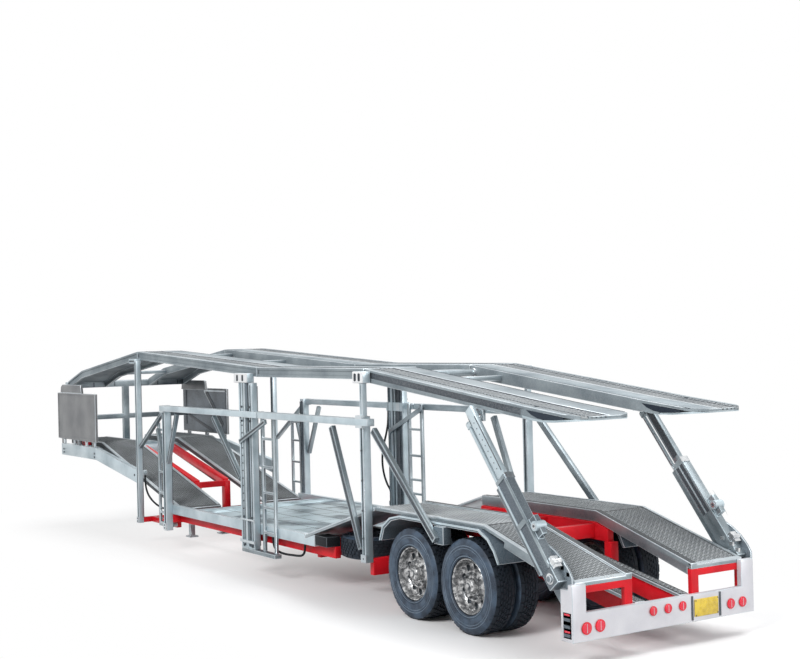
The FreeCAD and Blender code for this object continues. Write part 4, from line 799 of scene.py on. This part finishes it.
def lozenges(bm, path, y0, y1):
    """Raised herringbone bars on a plate; path is its top line as (station, height)."""
    rows = int((y1 - y0 - 0.3) / PITCH)
    for (xa, za), (xb, zb) in zip(path, path[1:]):
        run, lean = math.hypot(xb - xa, zb - za), math.atan2(zb - za, xb - xa)
        for i in range(int((run - 0.4) / ROW)):
            d = 0.2 + (i + 0.5) * ROW
            x, z = xa + d * math.cos(lean), za + d * math.sin(lean)
            for j in range(rows):
                y = y0 + (y1 - y0) / 2 + (j - (rows - 1) / 2) * PITCH
                spin = math.radians(90 + (SLANT if (i + j) % 2 else -SLANT))
                lozenge(bm, Matrix.Translation(at(x, y, z)) @ Matrix.Rotation(-lean, 4, "Y")
                        @ Matrix.Rotation(spin, 4, "Z"))


TRACKS = {  # top line and side positions of the treaded part, and the smooth bars along and across it
    "tail": ([(3.6, 31.5), (60.0, 47.4), (144.0, 47.4)], 19.8, 43.4, [(43.6, 45.0)]),
    "rise": ([(144.4, 47.3), (211.0, 27.7)], 17.6, 43.2, [(16.2, 17.4), (43.5, 45.9)]),
    "ramp": ([(378.0, 26.2), (508.0, 59.6), (568.0, 59.6)], 17.0, 39.8, [(14.8, 16.6), (40.2, 41.9)])}
TAIL_LIP = [(2.7, 31.3), (4.2, 31.75)]
for part, (path, y0, y1, bars) in TRACKS.items():
    for word, side in SIDES:
        a, b = (y0, y1) if side > 0 else (-y1, -y0)
        bm = bmesh.new()
        lozenges(bm, path, a, b)
        finished(f"{part}_tread_{word}", bm, "trailer", "tread", ramp_raised if part == "ramp" else tread_raised)
        bm = bmesh.new()
        for low, high in bars:
            ribbon(bm, path, side * low, side * high, -0.3, 0.32)
        if part == "tail":
            ribbon(bm, TAIL_LIP, side * 16.0, side * 44.9, -0.4, 0.35)
        finished(f"{part}_bars_{word}", bm, "trailer", "silver", edge_silver)
WALK = [(3.0, 20.3), (103.6, 39.33)]  # the inner rails' upper faces
for word, side in SIDES:
    a, b = sorted((side * 10.0, side * 14.2))
    bm = bmesh.new()
    lozenges(bm, WALK, a, b)
    finished(f"walk_tread_{word}", bm, "trailer", "tread", tread_raised)

# ------------------------------------------------------------------ post heads, collars, feet and bolts
HEADS = [(264.9, 280.1, 104.3, 109.3), (145.0, 153.6, 105.5, 110.8)]  # white plates: stations and heights
bm, tools = bmesh.new(), bmesh.new()
for side in HANDS:
    for x0, x1, z0, z1 in HEADS:
        brick(bm, (x0, side * 50.0, z0), (x1, side * 50.9, z1))
        for share in (0.29, 0.71):  # the tools for its two slots, whose cut faces take the groove finish, a painted shade
            middle = x0 + (x1 - x0) * share
            brick(tools, (middle - 1.1, side * 50.45, z0 + 0.8), (middle + 1.1, side * 51.5, z1 - 0.8), 1)
rounded(bm, bm.edges[:], 0.3)
rounded(tools, [e for e in tools.edges if abs(e.verts[0].co.y - e.verts[1].co.y) > 0.5 * MM], 0.7, 3)
piece = finished("head_plates", bm, "trailer", "silver", white_paint, groove)
cut_away(piece, tools)

PLATES = [  # on both sides: stations, side positions, heights, finish
    (263.9, 268.8, 47.0, 48.6, 18.2, 103.9, 1),  # a dark web between the two columns of a middle post, a painted shade in the gap there
    (259.4, 276.4, 50.0, 50.9, 17.8, 19.2, 0), (260.2, 276.0, 50.0, 50.7, 29.8, 30.7, 0),  # step plates at its foot
    (144.6, 150.2, 50.0, 51.75, 84.6, 90.4, 0), (145.2, 149.6, 50.0, 50.8, 21.8, 25.4, 0),  # on the rear post
    (378.2, 382.2, 50.0, 50.8, 13.3, 17.2, 0), (422.1, 424.9, 50.0, 50.8, 13.3, 17.2, 0),  # forward posts' shoes
    (377.6, 382.8, 50.0, 51.7, 84.9, 89.0, 0),  # a forward post's bracket at the rail
    (247.6, 250.8, 51.2, 51.75, 85.7, 88.9, 0), (252.4, 255.6, 51.2, 51.75, 85.7, 88.9, 0)]  # the rail's joint
BOLTS = [  # on both sides: stations, heights, side position, radius, height, sides
    ((262.4, 272.1), (16.2, 31.6, 83.6, 91.2), 50.4, 0.6, 1.0, 6),
    ((272.1,), [36.0 + k * 4.1 for k in range(12)], 50.3, 0.36, 0.5, 8),
    ((146.3, 148.7), (87.4,), 51.6, 0.5, 0.3, 6), ((147.3,), (23.6, 33.0, 46.0, 60.0, 74.0), 50.5, 0.5, 0.7, 6),
    ((380.2, 423.5), (14.4, 16.2), 50.8, 0.45, 0.5, 6), ((379.0, 381.4), (86.9,), 51.6, 0.42, 0.35, 6),
    ((249.2, 254.0), (87.3,), 51.6, 0.4, 0.35, 6),
    ((170, 195, 220, 290, 310, 330, 350, 366), (88.2,), 51.35, 0.35, 0.6, 6),  # along the rail
    ((500.5,), (53.0, 50.6), 50.2, 0.75, 0.5, 6), ((562.5,), (53.2, 50.8), 50.2, 0.75, 0.5, 6),  # on the gooseneck
    ((428.6,), (43.4,), 50.2, 0.75, 0.5, 6)]
bm = bmesh.new()
for side in HANDS:
    for x0, x1, y0, y1, z0, z1, finish in PLATES:
        brick(bm, (x0, side * y0, z0), (x1, side * y1, z1), finish)
    for stations, heights, y, radius, height, sides in BOLTS:
        for x in stations:
            for z in heights:
                stud(bm, at(x, side * y, z), "y", radius, height, sides, finish=1)
# one collar on the right middle post
brick(bm, (259.8, -50.8, 84.4), (276.6, -45.6, 89.4), 2)
brick(bm, (262.2, -51.0, 84.9), (266.0, -45.4, 88.9), 0)
finished("post_fittings", bm, "trailer", "silver", edge_silver, groove, pale_silver)

# ------------------------------------------------------------------ front panels and rack
# on the right panel's inner face a dark slate sheet with strips on it: bright ones (finish 1), painted highlights,
# and dark ones (finish 2), painted shade, for the light on its fold
LINING = [((566.0, 66.0), (568.4, 92.0), 2), ((498.4, 91.2), (534.0, 92.3), 1)]  # upright and level strips
SLOPING = [((534.0, 91.8), (505.0, 66.6), 1.0, 1), ((530.5, 91.0), (503.0, 67.0), 3.4, 2),
           ((562.0, 73.0), (520.0, 62.4), 2.0, 2)]  # sloping strips: ends as (station, height), width, finish
bm = bmesh.new()
brick(bm, (498.2, -48.6, 61.8), (572.3, -48.2, 92.4), 0)
for (x0, z0), (x1, z1), finish in LINING:
    brick(bm, (x0, -48.3, z0), (x1, -47.9, z1), finish)
for (xa, za), (xb, zb), wide, finish in SLOPING:
    lean = math.atan2(zb - za, xb - xa)
    local = Matrix.Translation(at(xa, -48.15, za)) @ Matrix.Rotation(-lean, 4, "Y")
    brick(bm, (0.0, -0.2, -wide / 2), (math.hypot(xb - xa, zb - za), 0.2, wide / 2), finish, local)
finished("right_panel_painted_light", bm, "trailer", "silver", slate, edge_silver, groove)
bm = bmesh.new()
brick(bm, (563.1, -46.2, 100.2), (566.5, 46.2, 100.9), 0)
for y in (-40, -24, -8, 10, 26, 42):
    brick(bm, (563.0, y, 97.0), (563.3, y + 0.7, 100.0), 1)
for x in (500, 516, 540, 560):
    brick(bm, (x, 48.9, 57.2), (x + 2.2, 50.0, 60.4), 0)
brick(bm, (528.0, 40.0, 57.1), (536.0, 46.0, 59.5), 2)
finished("front_trim", bm, "trailer", "silver", edge_silver, groove, red_paint)

# ------------------------------------------------------------------ lift arms
FOOT, TOP = (10.4, 32.4), (61.7, 94.0)  # the arm's pins: station and height
ARM_IN, ARM_LONG = 46.3, math.hypot(TOP[0] - FOOT[0], TOP[1] - FOOT[1])
# a sleeve's mouth, its outer face, its knob and its clamp, in its own frame
MOUTH, SKIN, KNOB, CLAMP = 44.9, 4.2, (20.4, 2.2, -5.6), (4.4, 2.2, -4.9)


def arm_frame(side):
    """Millimetres along the arm from its foot pin, outwards from its inner face, and square off it to the front."""
    along = Vector((TOP[0] - FOOT[0], 0, TOP[1] - FOOT[1])).normalized()
    off = Vector((along.z, 0, -along.x))
    turned = Matrix((along, Vector((0, side, 0)), off)).transposed().to_4x4()
    return Matrix.Translation(at(FOOT[0], side * ARM_IN, FOOT[1])) @ turned


for word, side in SIDES:
    local = arm_frame(side)
    # where the trim starts and how far out its bars, straps and panel reach: the right arm swings behind its cheek
    start, bar, strap, panel = (3.5, 4.8, 4.9, 4.55) if side > 0 else (20.0, 4.4, 4.45, 4.3)
    bm = bmesh.new()
    for v0, v1, finish in ((-3.25, -2.3, 4), (2.3, 3.25, 0)):
        brick(bm, (start, SKIN, v0), (46.9, bar, v1), finish, local)
    for u0, u1 in ((24.0, 26.2), (45.4, 47.0)):
        brick(bm, (max(u0, start), SKIN, -3.2), (u1, strap, 3.2), 4, local)
    # a slate panel on the outer face, a painted shade for the recess there
    brick(bm, (start, SKIN, -2.3), (45.6, panel, 2.3), 3, local)
    # a dark strip on the inner face, a painted shade for a groove along it, with a pale line down it
    brick(bm, (20.0, -0.12, -2.2), (44.6, 0.3, 2.2), 1, local)
    brick(bm, (20.0, -0.2, -0.5), (44.6, 0.3, 0.3), 0, local)
    # collar at the mouth, knob on the side lug and the clamp near the foot
    for v0, v1 in ((-3.6, -3.2), (3.2, 3.6)):
        brick(bm, (MOUTH, -0.25, v0), (47.6, SKIN, v1), 2, local)
    for radius, height, sides, finish in ((2.0, 4.9, 20, 0), (1.1, 5.3, 12, 2), (0.5, 5.6, 12, 1)):
        stud(bm, local @ (Vector(KNOB) * MM), "y", radius, height, sides, finish)
    brick(bm, (2.0, 0.6, -5.4), (6.8, 3.8, -3.2), 2, local)
    stud(bm, local @ (Vector(CLAMP) * MM), "y", 1.3, 4.0, 14, finish=2)
    finished(f"sleeve_trim_{word}", bm, f"arm_sleeve_{word}", "silver", pale_silver, groove, chrome, slate, silver,
             smooth=40)
    bm = bmesh.new()
    # dark strips along the inner tube, a painted shade
    brick(bm, (49.8, 3.3, -2.1), (ARM_LONG - 3.0, 3.43, -1.6), 1, local)
    brick(bm, (49.8, 0.98, -1.7), (ARM_LONG - 4.0, 1.2, 1.2), 1, local)
    for k in range(9):
        stud(bm, local @ (Vector((52.0 + k * 2.9, 3.38, 0.2)) * MM), "y", 0.26, 0.14, 8, finish=1)
    finished(f"inner_trim_{word}", bm, f"arm_inner_{word}", "silver", edge_silver, groove)

CATCHES = [(4.4, 33.4), (7.6, 35.6), (12.6, 37.4)]  # inside the tail sides: station and height
CHEEK_BOLTS = [(6.0, 29.5, 0.7), (16.5, 30.2, 0.7), (23.0, 36.4, 0.6)]  # on the right cheek: and radius
bm = bmesh.new()
for side in HANDS:
    outer = 50.9 if side > 0 else 51.8
    stud(bm, at(FOOT[0], side * (outer - 0.25), FOOT[1]), "y", 2.2, 0.5, 20)
    for x, z in CATCHES:
        brick(bm, (x, side * 45.1, z), (x + 1.8, side * 46.1, z + 1.6))
for x, z, radius in CHEEK_BOLTS:
    stud(bm, at(x, -51.6, z), "y", radius, 0.4)
finished("arm_foot_fittings", bm, "trailer", "bright", chrome, smooth=40)

# ------------------------------------------------------------------ floor, light and camera
def lit(name, energy, place, aim, size):
    """A soft rectangular lamp."""
    lamp = bpy.data.lights.new(name, "AREA")
    lamp.energy = energy
    lamp.shape, lamp.size, lamp.size_y = "RECTANGLE", *size
    holder = bpy.data.objects.new(name, lamp)
    bpy.context.scene.collection.objects.link(holder)
    holder.location = place
    holder.rotation_mode = "QUATERNION"
    holder.rotation_quaternion = (Vector(aim) - Vector(place)).to_track_quat("-Z", "Y")


def seen_rays(finish):
    """1 for the rays that see the background: from the camera, in gloss and through glass."""
    path = {name: finish.add("ShaderNodeLightPath", out=name)
            for name in ("Is Camera Ray", "Is Glossy Ray", "Is Transmission Ray")}
    return (path["Is Camera Ray"] + path["Is Glossy Ray"] + path["Is Transmission Ray"]) > 0.5


WORLD_LEVEL = 0.42  # what the world gives to the rays that only light the part
FLOOR, FLOOR_LIGHT = (0.93, 0.93, 0.935), (0.42, 0.42, 0.42, 1)  # the floor as seen, and for those rays
FOOTPRINT = (0.288, 0.052, 0.0)  # half of the part's length and width, metres
FADE = (0.010, 0.085)  # distances outside the footprint between which the floor runs out to white
SHADOW_LIFT_ALONG, SHADOW_LIFT_MOST = (-0.14, 0.10), 0.7  # under the front of the part the floor is painted towards white, this far at most, between these places along it: a painted light that lifts the shadow there


def studio():
    """A pale floor that keeps the shadow and runs out to white, in a white world; under the front of the part it is
    painted most of the way to white, which lifts the shadow there.
    """
    floor = Finish("studio_floor", FLOOR, 0.9, specular=0.0)

    def vector(operation, first, second, out="Vector"):
        return floor.add("ShaderNodeVectorMath", {"operation": operation}, {0: first, 1: second}, out)

    def smooth(value, start, end, most=1.0):
        values = {"Value": value, "From Min": start, "From Max": end, "To Max": most}
        return floor.add("ShaderNodeMapRange", {"interpolation_type": "SMOOTHSTEP"}, values)

    floor.into("Base Color", floor.blend(seen_rays(floor), FLOOR_LIGHT, floor.colour))
    white = floor.add("ShaderNodeEmission", {}, {"Color": (1, 1, 1, 1), "Strength": 1.0})
    none = (0.0, 0.0, 0.0)
    outside = vector("MAXIMUM", vector("SUBTRACT", vector("ABSOLUTE", floor.place, none), FOOTPRINT), none)
    far = smooth(vector("LENGTH", outside, none, "Value"), *FADE)
    ahead = smooth(vector("DOT_PRODUCT", floor.place, (1.0, 0.0, 0.0), "Value"), *SHADOW_LIFT_ALONG, SHADOW_LIFT_MOST)
    faded = 1.0 - (1.0 - far) * (1.0 - ahead)
    mixed = floor.add("ShaderNodeMixShader", {}, {"Fac": faded * seen_rays(floor), 2: white})
    floor.tree.links.new(floor.shader.outputs[0], mixed.socket.node.inputs[1])
    floor.tree.links.new(mixed.socket, floor.tree.nodes["Material Output"].inputs["Surface"])
    bm = bmesh.new()
    bmesh.ops.create_grid(bm, x_segments=1, y_segments=1, size=6.0)
    mesh = bpy.data.meshes.new("floor")
    bm.to_mesh(mesh)
    bm.free()
    mesh.materials.append(floor.material)
    ground = bpy.data.objects.new("floor", mesh)
    bpy.context.scene.collection.objects.link(ground)
    world = bpy.data.worlds.new("studio")
    bpy.context.scene.world = world
    world.use_nodes = True
    sky = Finish.__new__(Finish)  # only for its node method, on the world's own tree
    sky.tree = world.node_tree
    level = WORLD_LEVEL + seen_rays(sky) * (1.0 - WORLD_LEVEL)
    background = world.node_tree.nodes["Background"]
    background.inputs["Color"].default_value = (1, 1, 1, 1)
    world.node_tree.links.new(level.socket, background.inputs["Strength"])


studio()
lit("key", 9.5, (-0.45, 0.95, 0.75), (-0.05, 0, 0.04), (0.45, 0.45))
lit("fill", 6.0, (-1.3, -0.3, 0.5), (-0.1, 0, 0.05), (0.7, 0.5))
lit("top", 10.5, (0.1, -0.35, 1.15), (0, 0, 0.05), (1.3, 0.8))

CAMERA_PLACE, CAMERA_TURN, LENS = (-0.68046, 0.37885, 0.12387), (-32.96, 0.56, -1.38), 61.06
camera = bpy.data.objects.new("camera", bpy.data.cameras.new("camera"))
bpy.context.scene.collection.objects.link(camera)
bpy.context.scene.camera = camera
yaw, pitch, roll = (math.radians(angle) for angle in CAMERA_TURN)
ahead = Vector((math.cos(pitch) * math.cos(yaw), math.cos(pitch) * math.sin(yaw), math.sin(pitch)))
right = ahead.cross(Vector((0, 0, 1))).normalized()
up = right.cross(ahead)
right, up = right * math.cos(roll) + up * math.sin(roll), up * math.cos(roll) - right * math.sin(roll)
camera.matrix_world = Matrix.Translation(CAMERA_PLACE) @ Matrix((right, up, -ahead)).transposed().to_4x4()
camera.data.sensor_width, camera.data.lens = 36.0, LENS
camera.data.clip_start, camera.data.clip_end = 0.01, 20.0
bpy.context.scene.view_settings.view_transform = "Standard"
